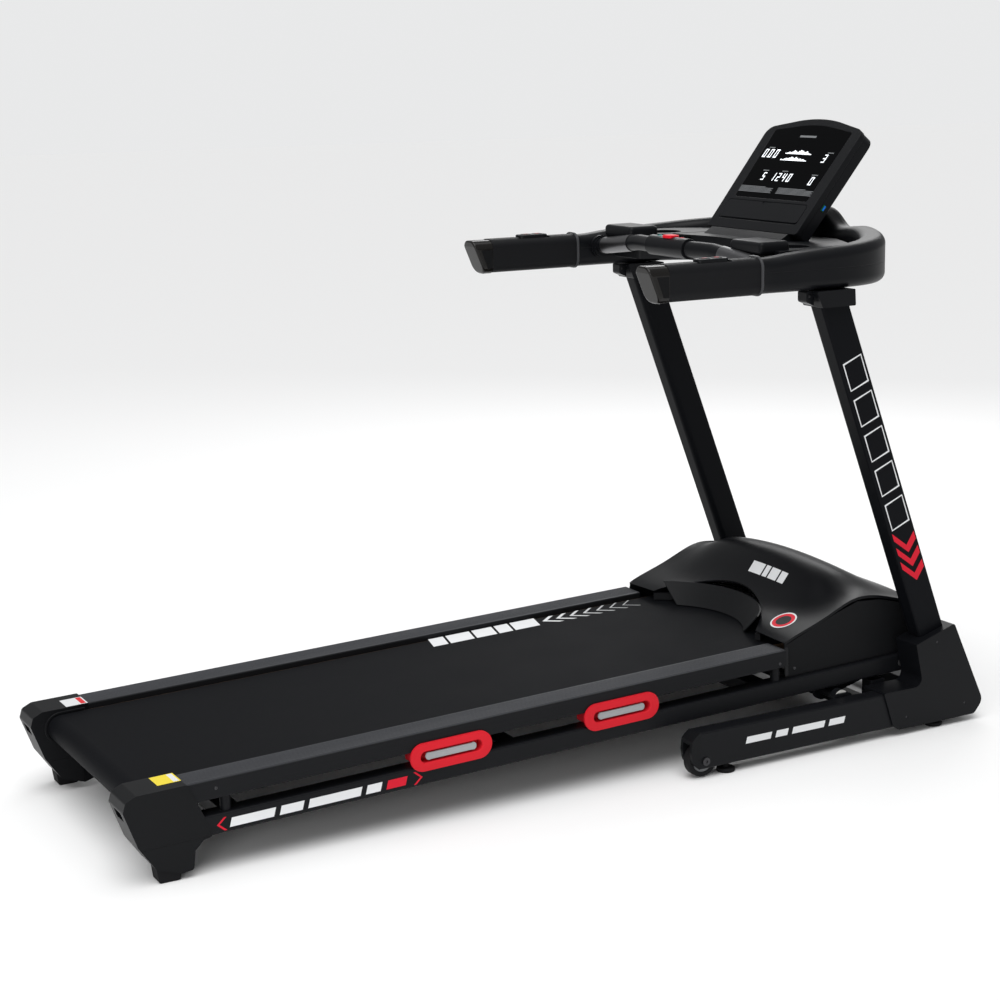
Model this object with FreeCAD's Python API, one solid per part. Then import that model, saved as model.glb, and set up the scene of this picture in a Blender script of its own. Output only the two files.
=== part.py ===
import FreeCAD, Part
import math
import os

# Folding home treadmill.  Millimetres, +Z up, +X towards the console,
# -Y is the user's right side.  The origin is the bottom centre of the bounding box.
# Pieces on the running deck are drawn level and then tipped to the deck's slope.

V = FreeCAD.Vector
Y_AXIS = V(0, 1, 0)

# ---- driving dimensions -------------------------------------------------------
DECK_SLOPE = 1.72            # degrees, front of the deck higher
CLEAR = 0.3                  # gap between neighbouring pieces of different bodies
SHAFT_PLAY = 0.05            # radial play of a running fit

RAIL_REAR, RAIL_FRONT = -824.0, 482.0
RAIL_BOTTOM, RAIL_TOP = 162.0, 198.0
RAIL_INNER, RAIL_OUTER = 250.0, 317.0
TUBE_BOTTOM, TUBE_TOP = 94.0, 132.0
TUBE_INNER = 277.0
TUBE_REAR, TUBE_FRONT = -838.0, 812.0
TUBE_WALL = 2.5
FOLD_X, FOLD_Z = 789.0, 113.0        # fold hinge, in the level deck

ROLLER_Z = 161.0
ROLLER_R = 24.7
REAR_ROLLER_X, FRONT_ROLLER_X = -885.0, 575.0
BELT_HALF = 238.0
BELT_INNER_R = 25.0
BELT_THICK = 2.2
BOARD_THICK = 18.0

HOOD_HALF = 304.0
# x, height of the side edge and height of the crest of the hood's cross-sections
HOOD_STATIONS = ((488, 209, 213), (560, 234, 240), (620, 256, 280), (680, 274, 322), (740, 268, 308),
                 (800, 250, 272), (855, 234, 244))
APRON_X, APRON_FOOT_R, APRON_TOP_R = 342.0, 211.0, 247.0
APRON_FOOT_Z, APRON_TOP_Z = 191.0, 236.0

PULLEY_Y = (-264, -246)
PULLEY_R, MOTOR_PULLEY_R = 38.0, 18.0
MOTOR_X, MOTOR_Z = 745.0, 190.0
ROCKER_X, ROCKER_Z = 849.0, 166.0    # pivot of the mains switch

BASE_OUTER, BASE_INNER = 386.0, 346.0
BASE_BOTTOM, BASE_TOP = 21.0, 98.0
BASE_REAR, BASE_FRONT = 214.0, 918.0
BOOT_OUTER, BOOT_INNER = 390.0, 320.5
BOOT_WALL = 3.0

UPRIGHT_OUTER, UPRIGHT_INNER = 371.0, 324.0
UPRIGHT_DEPTH = 70.6
UPRIGHT_FOOT_X, UPRIGHT_HEAD_X = 828.9, 517.0
UPRIGHT_HEAD_Z = 929.0

GRIP_Y = 352.0
GRIP_HALF = 27.0
BAR_STRAIGHT_X, BAR_FRONT_X = 535.0, 771.0
BAR_CORNER_POWER = 0.74      # below 1 makes the corners of the U squarer than an ellipse
BAR_END = V(421, -324.5, 1008)
BAR_BEND = V(412, -140, 1029)
BAR_HUB = V(400, -72, 1030)

CONSOLE_TILT = 39.2          # degrees back from vertical
CONSOLE_FOOT = V(656, 0, 1120)       # middle of the screen's lower edge

LIFT_X, LIFT_Z = 605.0, 92.0         # lift frame hinge on the base
LIFT_BAR_X, LIFT_BAR_Z = 700.0, 115.0
JACK_X, JACK_Z = 850.0, 42.0         # lower pin of the lift motor

WHEEL_X, WHEEL_Z, WHEEL_R = 228.0, 37.0, 35.0
BOOT_SCREWS = ((821, 193), (902, 44), (741, 40))


# ---- building helpers ---------------------------------------------------------
def block(x0, x1, y0, y1, z0, z1):
    return Part.makeBox(x1 - x0, y1 - y0, z1 - z0, V(x0, y0, z0))


def rod_y(x, z, radius, y0, y1):
    return Part.makeCylinder(radius, y1 - y0, V(x, y0, z), Y_AXIS)


def rod_z(x, y, radius, z0, z1):
    return Part.makeCylinder(radius, z1 - z0, V(x, y, z0))


def rod_between(start, end, radius):
    along = end - start
    return Part.makeCylinder(radius, along.Length, start, along)


def rounded_face(corners, place):
    """Face from (a, b, corner radius) triples; place(a, b) gives the 3-D point."""
    flat = [V(a, b, 0) for a, b, r in corners]
    starts, middles, ends = [], [], []
    for i, (a, b, radius) in enumerate(corners):
        corner = flat[i]
        to_last = (flat[i - 1] - corner).normalize()
        to_next = (flat[(i + 1) % len(flat)] - corner).normalize()
        half = to_last.getAngle(to_next) / 2
        reach = radius / math.tan(half) if radius else 0
        starts.append(corner + to_last * reach)
        ends.append(corner + to_next * reach)
        bisector = (to_last + to_next).normalize() if radius else V(0, 0, 0)
        middles.append(corner + bisector * (radius / math.sin(half) - radius))
    edges = []
    for i, (a, b, radius) in enumerate(corners):
        p, m, q = [place(v.x, v.y) for v in (starts[i], middles[i], ends[i])]
        if radius:
            edges.append(Part.Arc(p, m, q).toShape())
        following = starts[(i + 1) % len(corners)]
        following = place(following.x, following.y)
        if q.distanceToPoint(following) > 1e-4:
            edges.append(Part.LineSegment(q, following).toShape())
    return Part.Face(Part.Wire(edges))


def side_prism(corners, y0, y1):
    """Outline in X and Z, carried along Y."""
    face = rounded_face(corners, lambda a, b: V(a, y0, b))
    return face.extrude(V(0, y1 - y0, 0))


def long_prism(corners, x0, x1):
    """Outline in Y and Z, carried along X."""
    face = rounded_face(corners, lambda a, b: V(x0, a, b))
    return face.extrude(V(x1 - x0, 0, 0))


def plan_prism(corners, z0, z1):
    """Outline in X and Y, carried along Z."""
    face = rounded_face(corners, lambda a, b: V(a, b, z0))
    return face.extrude(V(0, 0, z1 - z0))


def loop_prism(x1, z1, r1, x2, z2, r2, y0, y1):
    """Solid bounded by a band round two circles, carried along Y."""
    span = math.hypot(x2 - x1, z2 - z1)
    along = math.atan2(z2 - z1, x2 - x1)
    lean = math.acos((r1 - r2) / span)
    def at(x, z, r, angle):
        return V(x + r * math.cos(angle), y0, z + r * math.sin(angle))
    up_1 = at(x1, z1, r1, along + lean)
    up_2 = at(x2, z2, r2, along + lean)
    low_1 = at(x1, z1, r1, along - lean)
    low_2 = at(x2, z2, r2, along - lean)
    edges = [
        Part.LineSegment(up_1, up_2).toShape(),
        Part.Arc(up_2, at(x2, z2, r2, along), low_2).toShape(),
        Part.LineSegment(low_2, low_1).toShape(),
        Part.Arc(low_1, at(x1, z1, r1, along + math.pi), up_1).toShape(),
    ]
    return Part.Face(Part.Wire(edges)).extrude(V(0, y1 - y0, 0))


def rect(a0, a1, b0, b1, r):
    return [(a0, b0, r), (a1, b0, r), (a1, b1, r), (a0, b1, r)]


def mirrored(shape):
    return shape.mirror(V(0, 0, 0), Y_AXIS)


def both_sides(shape):
    return Part.makeCompound([shape, mirrored(shape)])


def on_deck(shape):
    turned = shape.copy()
    turned.rotate(V(0, 0, 0), Y_AXIS, -DECK_SLOPE)
    return turned


def on_console(shape):
    """Console pieces are drawn standing, screen foot at the origin, then tilted."""
    turned = shape.copy()
    turned.rotate(V(0, 0, 0), Y_AXIS, CONSOLE_TILT)
    turned.translate(CONSOLE_FOOT)
    return turned


def save(name, shape):
    shape.exportStep("parts/" + name + ".step")


fold_pin = on_deck(Part.Vertex(FOLD_X, 0, FOLD_Z)).Point
os.makedirs("parts", exist_ok=True)


# ---- base: side tubes, cross tubes, end caps with wheels, feet -------------------
def base_tube():
    outer = long_prism(rect(-BASE_OUTER, -BASE_INNER, BASE_BOTTOM, BASE_TOP, 4), BASE_REAR, BASE_FRONT)
    wall = 2.5
    inner_outline = rect(-BASE_OUTER + wall, -BASE_INNER - wall, BASE_BOTTOM + wall, BASE_TOP - wall, 2)
    tube = outer.cut(long_prism(inner_outline, BASE_REAR, BASE_FRONT))
    wheel_slot = block(BASE_REAR, 266, -BASE_OUTER + 8, -BASE_INNER - 8, BASE_BOTTOM - 1, BASE_BOTTOM + 8)
    tube = tube.cut(wheel_slot).cut(rod_y(WHEEL_X, WHEEL_Z, 5, -BASE_OUTER, -BASE_INNER))
    for x, z in BOOT_SCREWS[1:]:
        tube = tube.cut(rod_y(x, z, 2.5, -BASE_OUTER, -BASE_OUTER + 5))
    return tube


def tube_cap():
    """Plastic cap with a round nose and a slot in which the transport wheel turns."""
    nose = side_prism([(BASE_REAR, BASE_BOTTOM, 0), (BASE_REAR, BASE_TOP, 0),
                       (196, 84, 14), (193, 60, 20), (197, 36, 14)], -BASE_OUTER, -BASE_INNER)
    plug = long_prism(rect(-382.5, -349.5, 24.5, 94.5, 2), BASE_REAR, 270)
    cap = nose.fuse(plug)
    slot = block(150, 268, -379, -353, 0, WHEEL_Z + WHEEL_R + 2.5)
    pin = rod_y(WHEEL_X, WHEEL_Z, 5, -BASE_OUTER, -BASE_INNER)
    return cap.cut(slot).cut(pin)


def transport_wheel():
    tyre = rod_y(WHEEL_X, WHEEL_Z, WHEEL_R, -377, -355)
    recess = rod_y(WHEEL_X, WHEEL_Z, 25, -377, -373)
    boss = rod_y(WHEEL_X, WHEEL_Z, 11, -378, -354)
    bore = rod_y(WHEEL_X, WHEEL_Z, 5 + SHAFT_PLAY, -380, -350)
    rim = [e for e in tyre.Edges if abs(e.Length - 2 * math.pi * WHEEL_R) < 1]
    tyre = tyre.makeFillet(4, rim)
    far_recess = rod_y(WHEEL_X, WHEEL_Z, 25, -359, -355)
    return tyre.cut(recess).cut(far_recess).fuse(boss).cut(bore).removeSplitter()


def base_cross_frame():
    """Two cross tubes, the lift frame's hinge lugs, stop stubs and the jack's clevis."""
    def cross(x0, x1, z0, z1):
        outer = side_prism(rect(x0, x1, z0, z1, 4), -BASE_INNER, BASE_INNER)
        inner = side_prism(rect(x0 + 2.5, x1 - 2.5, z0 + 2.5, z1 - 2.5, 2), -BASE_INNER, BASE_INNER)
        return outer.cut(inner)
    front = cross(866, 916, 24, 64)
    rear = cross(700, 740, 24, 54)
    lug = side_prism([(575, 30, 4), (640, 30, 4), (627, 104, 12), (583, 104, 12)], -345.9, -340)
    lug = lug.cut(rod_y(LIFT_X, LIFT_Z, 8 + SHAFT_PLAY, -346, -340))
    stub = plan_prism(rect(702, 738, -318, -284, 3), 54, 108)
    stub = stub.cut(plan_prism(rect(704.5, 735.5, -315.5, -286.5, 1), 54, 108))
    ear = side_prism([(838, 28, 4), (866, 28, 0), (866, 60, 0), (838, 56, 10)], 22, 28)
    ear = ear.cut(rod_y(JACK_X, JACK_Z, 6 + SHAFT_PLAY, 20, 30))
    return Part.makeCompound([front, rear, lug, mirrored(lug), stub, mirrored(stub), ear, mirrored(ear)])


def base_foot(x, top):
    pad = rod_z(x, -366, 19, 0, 9)
    pad = pad.makeFillet(3, [e for e in pad.Edges if abs(e.Length - 2 * math.pi * 19) < 1])
    return pad.fuse(rod_z(x, -366, 6, 9, top))


# ---- uprights, their collars, the boots round their feet -------------------------
def upright_block(inset, z0, z1):
    """A rectangular tube raked back; its level section slides along the rake."""
    rake = (UPRIGHT_HEAD_X - UPRIGHT_FOOT_X) / (UPRIGHT_HEAD_Z - BASE_TOP)
    x0 = UPRIGHT_FOOT_X + rake * (z0 - BASE_TOP)
    face = rounded_face([(x0 + inset, -UPRIGHT_OUTER + inset, 6), (x0 + inset, -UPRIGHT_INNER - inset, 14),
                         (x0 + UPRIGHT_DEPTH - inset, -UPRIGHT_INNER - inset, 8),
                         (x0 + UPRIGHT_DEPTH - inset, -UPRIGHT_OUTER + inset, 6)],
                        lambda a, b: V(a, b, z0))
    return face.extrude(V(rake * (z1 - z0), 0, z1 - z0))


def boot():
    outline = [(679, 101.5, 3), (785, 101.5, 18), (764, 195, 2), (868, 227, 6), (953.5, 42, 22),
               (930, 15, 10), (721, 15, 4), (705, 26, 4)]
    outer = side_prism(outline, -BOOT_OUTER, -BOOT_INNER)
    w = BOOT_WALL
    cavity_outline = [(683, 98.3, 1), (788.5, 98.3, 20), (768, 193, 1), (866, 223, 4), (949.5, 42, 19),
                      (932, 5, 4), (719, 5, 2), (709, 26, 2)]
    cavity = side_prism(cavity_outline, -BOOT_OUTER + w, -BOOT_INNER - w)
    shell = outer.cut(cavity)
    tube_hole = block(600, 760, -BASE_OUTER - CLEAR, -BASE_INNER + CLEAR, 0, BASE_TOP + CLEAR)
    cross_hole = block(865.5, 916.5, -330, -300, 0, 64.5).fuse(block(699.5, 740.5, -346.3, -300, 0, 54.5))
    shell = shell.cut(upright_block(-CLEAR, 140, 300)).cut(tube_hole).cut(cross_hole)
    for x, z in BOOT_SCREWS:
        shell = shell.cut(rod_y(x, z, 2.6, -BOOT_OUTER - 1, -BOOT_OUTER + 10))
    return shell


def upright():
    return upright_block(0, BASE_TOP, 961.5).cut(upright_block(3, BASE_TOP - 1, 962))


def collar():
    """Plastic sleeve round the head of the upright, with a screwed tab behind it."""
    outline = [(509, 929, 3), (592, 929, 3), (590, 962.6, 2), (494, 962.6, 4)]
    sleeve = side_prism(outline, -384, -UPRIGHT_INNER + 4)
    sleeve = sleeve.cut(upright_block(-CLEAR, 900, 1000))
    tab = side_prism([(481, 941, 6), (500, 933, 0), (500, 962.6, 0), (481, 962.6, 4)], -366, -338)
    return sleeve.fuse(tab).cut(rod_y(488, 952, 2.6, -370, -330))


def frame_bolts():
    """Boot screws, collar screws and the transport wheels' bolts."""
    bolts = []
    for x, z in BOOT_SCREWS:
        bolts.append(rod_y(x, z, 2.5, -BOOT_OUTER + 0.8, -BOOT_OUTER + 7))
    bolts.append(rod_y(488, 952, 2.5, -367.5, -339))
    shank = rod_y(WHEEL_X, WHEEL_Z, 5 - SHAFT_PLAY, -BASE_OUTER, -BASE_INNER)
    head = rod_y(WHEEL_X, WHEEL_Z, 8.5, -BASE_OUTER - 3.4, -BASE_OUTER - 0.2)
    head = head.cut(rod_y(WHEEL_X, WHEEL_Z, 3.2, -BASE_OUTER - 3.4, -BASE_OUTER - 1.6))
    neck = rod_y(WHEEL_X, WHEEL_Z, 5 - SHAFT_PLAY, -BASE_OUTER - 0.2, -BASE_OUTER)
    bolts.append(shank.fuse(neck).fuse(head))
    return Part.makeCompound(bolts + [mirrored(b) for b in bolts])


# ---- handlebar: a U of two moulded halves, grips, keypads, pulse bar ---------------
def bar_stations():
    """x, y, heading, width, bottom and top of the right half's cross-sections."""
    stations = [(x, -GRIP_Y, 0, 54, 964, top) for x, top in ((363.5, 1036), (440, 1039), (490, 1043))]
    reach = BAR_FRONT_X - BAR_STRAIGHT_X
    for step in range(1, 9):
        turn = math.radians(90 * step / 8)
        sin_p = math.sin(turn) ** BAR_CORNER_POWER
        cos_p = max(math.cos(turn), 0) ** BAR_CORNER_POWER
        slope_x = reach * math.sin(turn) ** (BAR_CORNER_POWER - 1) * math.cos(turn)
        slope_y = GRIP_Y * max(math.cos(turn), 1e-9) ** (BAR_CORNER_POWER - 1) * math.sin(turn)
        heading = math.degrees(math.atan2(slope_y, slope_x)) if step < 8 else 90
        rise = min(step, 5) / 5
        stations.append((BAR_STRAIGHT_X + reach * sin_p, -GRIP_Y * cos_p if step < 8 else -0.2, heading,
                         54 + 3 * rise, 964 - 2 * rise, 1046 + 20 * rise))
    return stations


def bar_section(x, y, heading, width, bottom, top, corner):
    across = V(-math.sin(math.radians(heading)), math.cos(math.radians(heading)), 0)
    centre = V(x, y, 0)
    outline = rect(-width / 2, width / 2, bottom, top, corner)
    return rounded_face(outline, lambda a, b: centre + across * a + V(0, 0, b)).OuterWire


def handlebar():
    outer = [bar_section(*s, 20) for s in bar_stations()]
    inner = [bar_section(x, y, h, w - 6, b + 3, t - 3, 17) for x, y, h, w, b, t in bar_stations()]
    bar = Part.makeLoft(outer, True, False).cut(Part.makeLoft(inner, True, False))
    bore = rod_y(421, 1008, 19.2, -332, -300)
    return bar.cut(bore)


def grip():
    outline = rect(-GRIP_Y - GRIP_HALF, -GRIP_Y + GRIP_HALF, 963, 1036, 19)
    inner = rect(-GRIP_Y - GRIP_HALF + 4, -GRIP_Y + GRIP_HALF - 4, 967, 1032, 15)
    sleeve = long_prism(outline, 150, 363).cut(long_prism(inner, 150, 363))
    pad_pocket = block(222, 300, -GRIP_Y - 17, -GRIP_Y + 17, 1030, 1040)
    return sleeve.cut(pad_pocket)


def grip_cap():
    """Smoked end cap with a slanted end, rounded like the nose of the grip."""
    outline = rect(-GRIP_Y - GRIP_HALF, -GRIP_Y + GRIP_HALF, 961.5, 1034.5, 19)
    body = long_prism(outline, 90, 149.8)
    keep = side_prism([(102, 1040, 0), (105, 1022, 12), (130, 961.5, 8), (149.8, 960, 0), (149.8, 1040, 0)],
                      -400, -300)
    return body.common(keep)


def keypad():
    """Raised pod on top of the grip, with two windows for the rocker keys."""
    pod = plan_prism(rect(224, 298, -GRIP_Y - 15.5, -GRIP_Y + 15.5, 14), 1032.4, 1041)
    top = [e for e in pod.Edges if e.BoundBox.ZMin > 1040.9]
    pod = pod.makeFillet(3, top)
    for x in (247, 275):
        pod = pod.cut(plan_prism(rect(x - 11, x + 11, -GRIP_Y - 8, -GRIP_Y + 8, 5), 1036, 1042))
    return pod


def key(x, side):
    """One key of a keypad, standing 1 mm proud and travelling 1.2 mm down."""
    y = side * GRIP_Y
    return plan_prism(rect(x - 10.6, x + 10.6, y - 7.6, y + 7.6, 4.6), 1037.5, 1042)


def pulse_bar():
    """Cross bar between the handlebar arms, bent twice on each side."""
    radius = 17
    pieces = [rod_between(BAR_END, BAR_BEND, radius), rod_between(BAR_BEND, BAR_HUB, radius),
              Part.makeSphere(radius, BAR_BEND)]
    half = pieces[0].fuse(pieces[1]).fuse(pieces[2])
    collar_ring = rod_y(421, 1008, 24, -324.4, -317).fuse(rod_y(421, 1008, 21, -317, -311))
    half = half.fuse(collar_ring)
    middle = rod_between(BAR_HUB, V(BAR_HUB.x, 72, BAR_HUB.z), radius)
    return half.fuse(mirrored(half)).fuse(middle).removeSplitter()


def pulse_hub():
    """Moulded sleeve in the middle of the bar that holds the safety key."""
    sleeve = rod_y(BAR_HUB.x, BAR_HUB.z, 21.5, -71, 71)
    sleeve = sleeve.makeFillet(2, sleeve.Edges[:1] + sleeve.Edges[2:3])
    sleeve = sleeve.cut(rod_y(BAR_HUB.x, BAR_HUB.z, 17.1, -80, 80))
    pad = side_prism([(400, 1046, 0), (470, 1036, 5), (470, 1026, 4), (404, 1012, 0)], -58, 58)
    pad = pad.cut(rod_y(BAR_HUB.x, BAR_HUB.z, 19, -80, 80))
    socket = plan_prism(rect(386, 414, -17, 17, 8), 1048.6, 1056)
    return sleeve.fuse(pad).cut(socket).removeSplitter()


def safety_key():
    """Magnetic stop key that lifts straight off the hub."""
    cap = plan_prism(rect(386.5, 413.5, -16.5, 16.5, 8), 1048.8, 1055)
    return cap.makeFillet(2, [e for e in cap.Edges if e.BoundBox.ZMin > 1054.9])


def pulse_sensor(side):
    """Bent metal contact plate lying on the bar."""
    start = BAR_END + (BAR_BEND - BAR_END) * 0.18
    end = BAR_END + (BAR_BEND - BAR_END) * 0.82
    shell = rod_between(start, end, 18.4).cut(rod_between(start, end, 17.2))
    along = (end - start).normalize()
    if side > 0:
        keep = block(380, 419, -400, 0, 950, 1060)
    else:
        keep = block(424, 460, -400, 0, 950, 1060)
    keep.rotate(BAR_END, V(0, 0, 1), math.degrees(math.atan2(-along.x, along.y)) * 0.5)
    return shell.common(keep)


# ---- console ---------------------------------------------------------------------
def console_outline(half, foot, shoulder, crown, corner):
    """Front view (Y, Z) of the console: straight sides and an arched top."""
    return [(-half + 6, foot, 6), (half - 6, foot, 6), (half, shoulder, corner),
            (0, crown, 420), (-half, shoulder, corner)]


def console_shell():
    outline = console_outline(169, -84, 186, 221, 26)
    back = long_prism(outline, 14, 37)
    back = back.cut(long_prism(console_outline(166, -81, 183, 218, 23), 13, 34))
    usb_hole = block(19.6, 27.4, -175, -150, -6.4, 8.4)
    return on_console(back.cut(usb_hole))


def console_bezel():
    outline = console_outline(170, -84, 187, 222, 26)
    bezel = long_prism(outline, 0, 13.8)
    bezel = bezel.cut(long_prism(console_outline(166, -80, 183, 218, 23), 4, 14))
    pocket = long_prism(console_outline(137, -1, 180, 200, 6), -1, 5)
    bezel = bezel.cut(pocket)
    flap_gap = long_prism(rect(-144, 144, -60, -9, 8), -1, 3)
    rim = long_prism(rect(-151, 151, -66, -6, 6), 3.9, 7).cut(long_prism(rect(-140, 140, -60, -12, 4), 0, 8))
    return on_console(bezel.cut(flap_gap))


def screen():
    glass = long_prism(console_outline(136.6, -0.6, 179.6, 199.6, 5.6), 0.6, 3.6)
    return on_console(glass)


def tablet_flap():
    """Fold-down ledge for a tablet, hinged along its lower edge, with a thumb notch."""
    plate = long_prism(rect(-143, 143, -55.5, -10, 7), 0.1, 2.7)
    notch = long_prism(rect(-15, 15, -16, -9, 3), -1, 1.4)
    pin = Part.makeCylinder(1.3, 270, V(1.4, -135, -55), Y_AXIS)
    return on_console(plate.cut(notch).fuse(pin).removeSplitter())


def circuit_board():
    """Display board behind the screen, with the USB socket in the right wall."""
    board = block(16, 17.6, -130, 130, 10, 165)
    chips = [block(17.6, 20, y, y + 22, z, z + 22) for y in (-90, -20, 60) for z in (40, 110)]
    for chip in chips:
        board = board.fuse(chip)
    socket = block(20, 27, -165.8, -150, -6, 8)
    return on_console(Part.makeCompound([board, socket]))


def console_base():
    """Tray between the handlebar arms with two bottle wells; carries the console."""
    plan = [(452, -318, 6), (452, -215, 14), (520, -172, 20), (548, -60, 30), (548, 60, 30),
            (520, 172, 20), (452, 215, 14), (452, 318, 6), (610, 306, 10), (668, 268, 20),
            (716, 160, 20), (730, 0, 0), (716, -160, 20), (668, -268, 20), (610, -306, 10)]
    tray = plan_prism(plan, 985, 1040)
    hollow = plan_prism([(520, -150, 10), (560, -60, 20), (560, 60, 20), (520, 150, 10), (660, 140, 10),
                         (660, -140, 10)], 988, 1036)
    tray = tray.cut(hollow)
    for y in (-238, 238):
        tray = tray.cut(rod_z(535, y, 40, 992, 1041))
    neck = side_prism([(572, 1036, 0), (600, 1054, 0), (622, 1056, 0), (648, 1036, 0)], -140, 140)
    seat = on_console(block(-0.3, 37.3, -172, 172, -84.4, 30))
    middle = tray.common(block(400, 800, -172, 172, 980, 1060)).fuse(neck).cut(seat)
    wing = tray.common(block(400, 800, -340, -172, 980, 1060))
    return Part.makeCompound([middle.removeSplitter(), wing, mirrored(wing)])


# ---- lift frame, fold shaft, lift motor -----------------------------------------------
def lift_frame():
    """Welded U that turns on the base and carries the fold shaft at its front end."""
    arm = loop_prism(LIFT_X, LIFT_Z, 20, fold_pin.x, fold_pin.z, 17, -274, -263)
    arm = arm.cut(rod_y(LIFT_X, LIFT_Z, 8, -280, -260))
    arm = arm.cut(rod_y(LIFT_BAR_X, LIFT_BAR_Z, 12, -280, -260))
    arm = arm.cut(rod_y(fold_pin.x, fold_pin.z, 10, -280, -260))
    axle = rod_y(LIFT_X, LIFT_Z, 8, -345, 345)
    bar = rod_y(LIFT_BAR_X, LIFT_BAR_Z, 12, -274, 274)
    bush = rod_y(LIFT_X, LIFT_Z, 18, -338, -322).cut(rod_y(LIFT_X, LIFT_Z, 8, -340, -320))
    return Part.makeCompound([arm, mirrored(arm), axle, bar, bush, mirrored(bush)])


def fold_shaft():
    return rod_y(fold_pin.x, fold_pin.z, 10 - SHAFT_PLAY, -317, 317)


def jack_direction():
    return V(LIFT_BAR_X - JACK_X, 0, LIFT_BAR_Z - JACK_Z).normalize()


def lift_motor():
    """Gear motor of the screw jack, hung on a pin in the base's clevis."""
    pin_point = V(JACK_X, 0, JACK_Z)
    along = jack_direction()
    tube = rod_between(pin_point + along * 14, pin_point + along * 108, 15)
    gearbox = rod_between(pin_point + along * 8, pin_point + along * 68, 20)
    motor = rod_between(pin_point + along * 46 + V(0, 12, 0), pin_point + along * 46 + V(0, 118, 0), 21)
    eye = rod_y(JACK_X, JACK_Z, 11, -20, 20)
    pin = rod_y(JACK_X, JACK_Z, 6, -29, 29)
    bore = rod_between(pin_point + along * 30, pin_point + along * 109, 9 + SHAFT_PLAY)
    return gearbox.fuse([motor, eye, pin, tube]).cut(bore)


def lift_rod():
    """Screw rod with a push pad that bears on the lift frame's bar."""
    pin_point = V(JACK_X, 0, JACK_Z)
    along = jack_direction()
    reach = math.hypot(LIFT_BAR_X - JACK_X, LIFT_BAR_Z - JACK_Z)
    pad_back = reach - 12 - 12
    rod = rod_between(pin_point + along * 34, pin_point + along * pad_back, 9)
    pad = rod_between(pin_point + along * pad_back, pin_point + along * (pad_back + 7), 24)
    return rod.fuse(pad).removeSplitter()


# ---- running deck ---------------------------------------------------------------------
def deck_tube():
    outline = rect(-RAIL_OUTER, -TUBE_INNER, TUBE_BOTTOM, TUBE_TOP, 4)
    w = TUBE_WALL
    inner = rect(-RAIL_OUTER + w, -TUBE_INNER - w, TUBE_BOTTOM + w, TUBE_TOP - w, 2)
    tube = long_prism(outline, TUBE_REAR, TUBE_FRONT).cut(long_prism(inner, TUBE_REAR, TUBE_FRONT))
    return on_deck(tube.cut(rod_y(FOLD_X, FOLD_Z, 10, -330, -260)))


def deck_cross_members():
    """Three cross tubes and the two plates that hold the front roller."""
    pieces = []
    for x in (-735, -160, 440):
        outer = side_prism(rect(x - 20, x + 20, 97, 127, 3), -TUBE_INNER, TUBE_INNER)
        pieces.append(outer.cut(side_prism(rect(x - 17.5, x + 17.5, 99.5, 124.5, 1), -TUBE_INNER, TUBE_INNER)))
    plate = side_prism([(548, TUBE_TOP, 0), (602, TUBE_TOP, 0), (596, 184, 12), (554, 184, 12)], -285, -279)
    plate = plate.cut(rod_y(FRONT_ROLLER_X, ROLLER_Z, 8 + SHAFT_PLAY, -290, -270))
    return on_deck(Part.makeCompound(pieces + [plate, mirrored(plate)]))


def side_rail():
    """Aluminium foot rail: hollow, ribbed on top, with a lip under the running board."""
    groove_pitch, groove_depth, groove_count = 5.6, 0.7, 10
    outline = [(-RAIL_OUTER, RAIL_BOTTOM, 1), (-RAIL_OUTER, RAIL_TOP - 2, 1.5)]
    y = -RAIL_OUTER + 5
    for i in range(groove_count):
        outline.append((y, RAIL_TOP, 0))
        outline.append((y + 0.8, RAIL_TOP - groove_depth, 0))
        outline.append((y + 2.0, RAIL_TOP - groove_depth, 0))
        outline.append((y + 2.8, RAIL_TOP, 0))
        y += groove_pitch
    outline += [(-RAIL_INNER - 1.5, RAIL_TOP - 0.5, 1), (-RAIL_INNER, RAIL_TOP - 3, 0.8),
                (-RAIL_INNER, 167.3, 0), (-241, 167.3, 0), (-241, 164.3, 0), (-RAIL_INNER, RAIL_BOTTOM, 0)]
    hollow = rect(-RAIL_OUTER + 3, -RAIL_INNER - 3, RAIL_BOTTOM + 3, RAIL_TOP - 4, 1)
    rail = long_prism(outline, RAIL_REAR, RAIL_FRONT).cut(long_prism(hollow, RAIL_REAR, RAIL_FRONT))
    return on_deck(rail)


def rail_posts():
    posts = [rod_z(x, -300, 10, TUBE_TOP, RAIL_BOTTOM) for x in (-751, 464)]
    return on_deck(Part.makeCompound(posts + [mirrored(p) for p in posts]))


def cushion(x):
    """Elastomer cushion: a stadium frame outside, a tongue between tube and rail."""
    mid = (TUBE_TOP + RAIL_BOTTOM) / 2 + 2.5
    frame = side_prism(rect(x - 86.5, x + 86.5, mid - 27.5, mid + 27.5, 27.4), -RAIL_OUTER - 4.8, -RAIL_OUTER - 0.1)
    window = side_prism(rect(x - 66, x + 66, mid - 11.5, mid + 11.5, 11.4), -330, -300)
    tongue = block(x - 70, x + 70, -RAIL_OUTER - 0.1, -262, TUBE_TOP + 0.2, RAIL_BOTTOM - 0.2)
    return frame.fuse(tongue).cut(window)


def cushions():
    right = [cushion(x) for x in (-304, 76)]
    return on_deck(Part.makeCompound(right + [mirrored(c) for c in right]))


def deck_board():
    top = ROLLER_Z + BELT_INNER_R - 0.3
    return on_deck(block(-848, 534, -246, 246, top - BOARD_THICK, top))


def band(x1, z1, r1, x2, z2, r2, thick, y0, y1):
    outer = loop_prism(x1, z1, r1 + thick, x2, z2, r2 + thick, y0, y1)
    return outer.cut(loop_prism(x1, z1, r1, x2, z2, r2, y0, y1))


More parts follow.
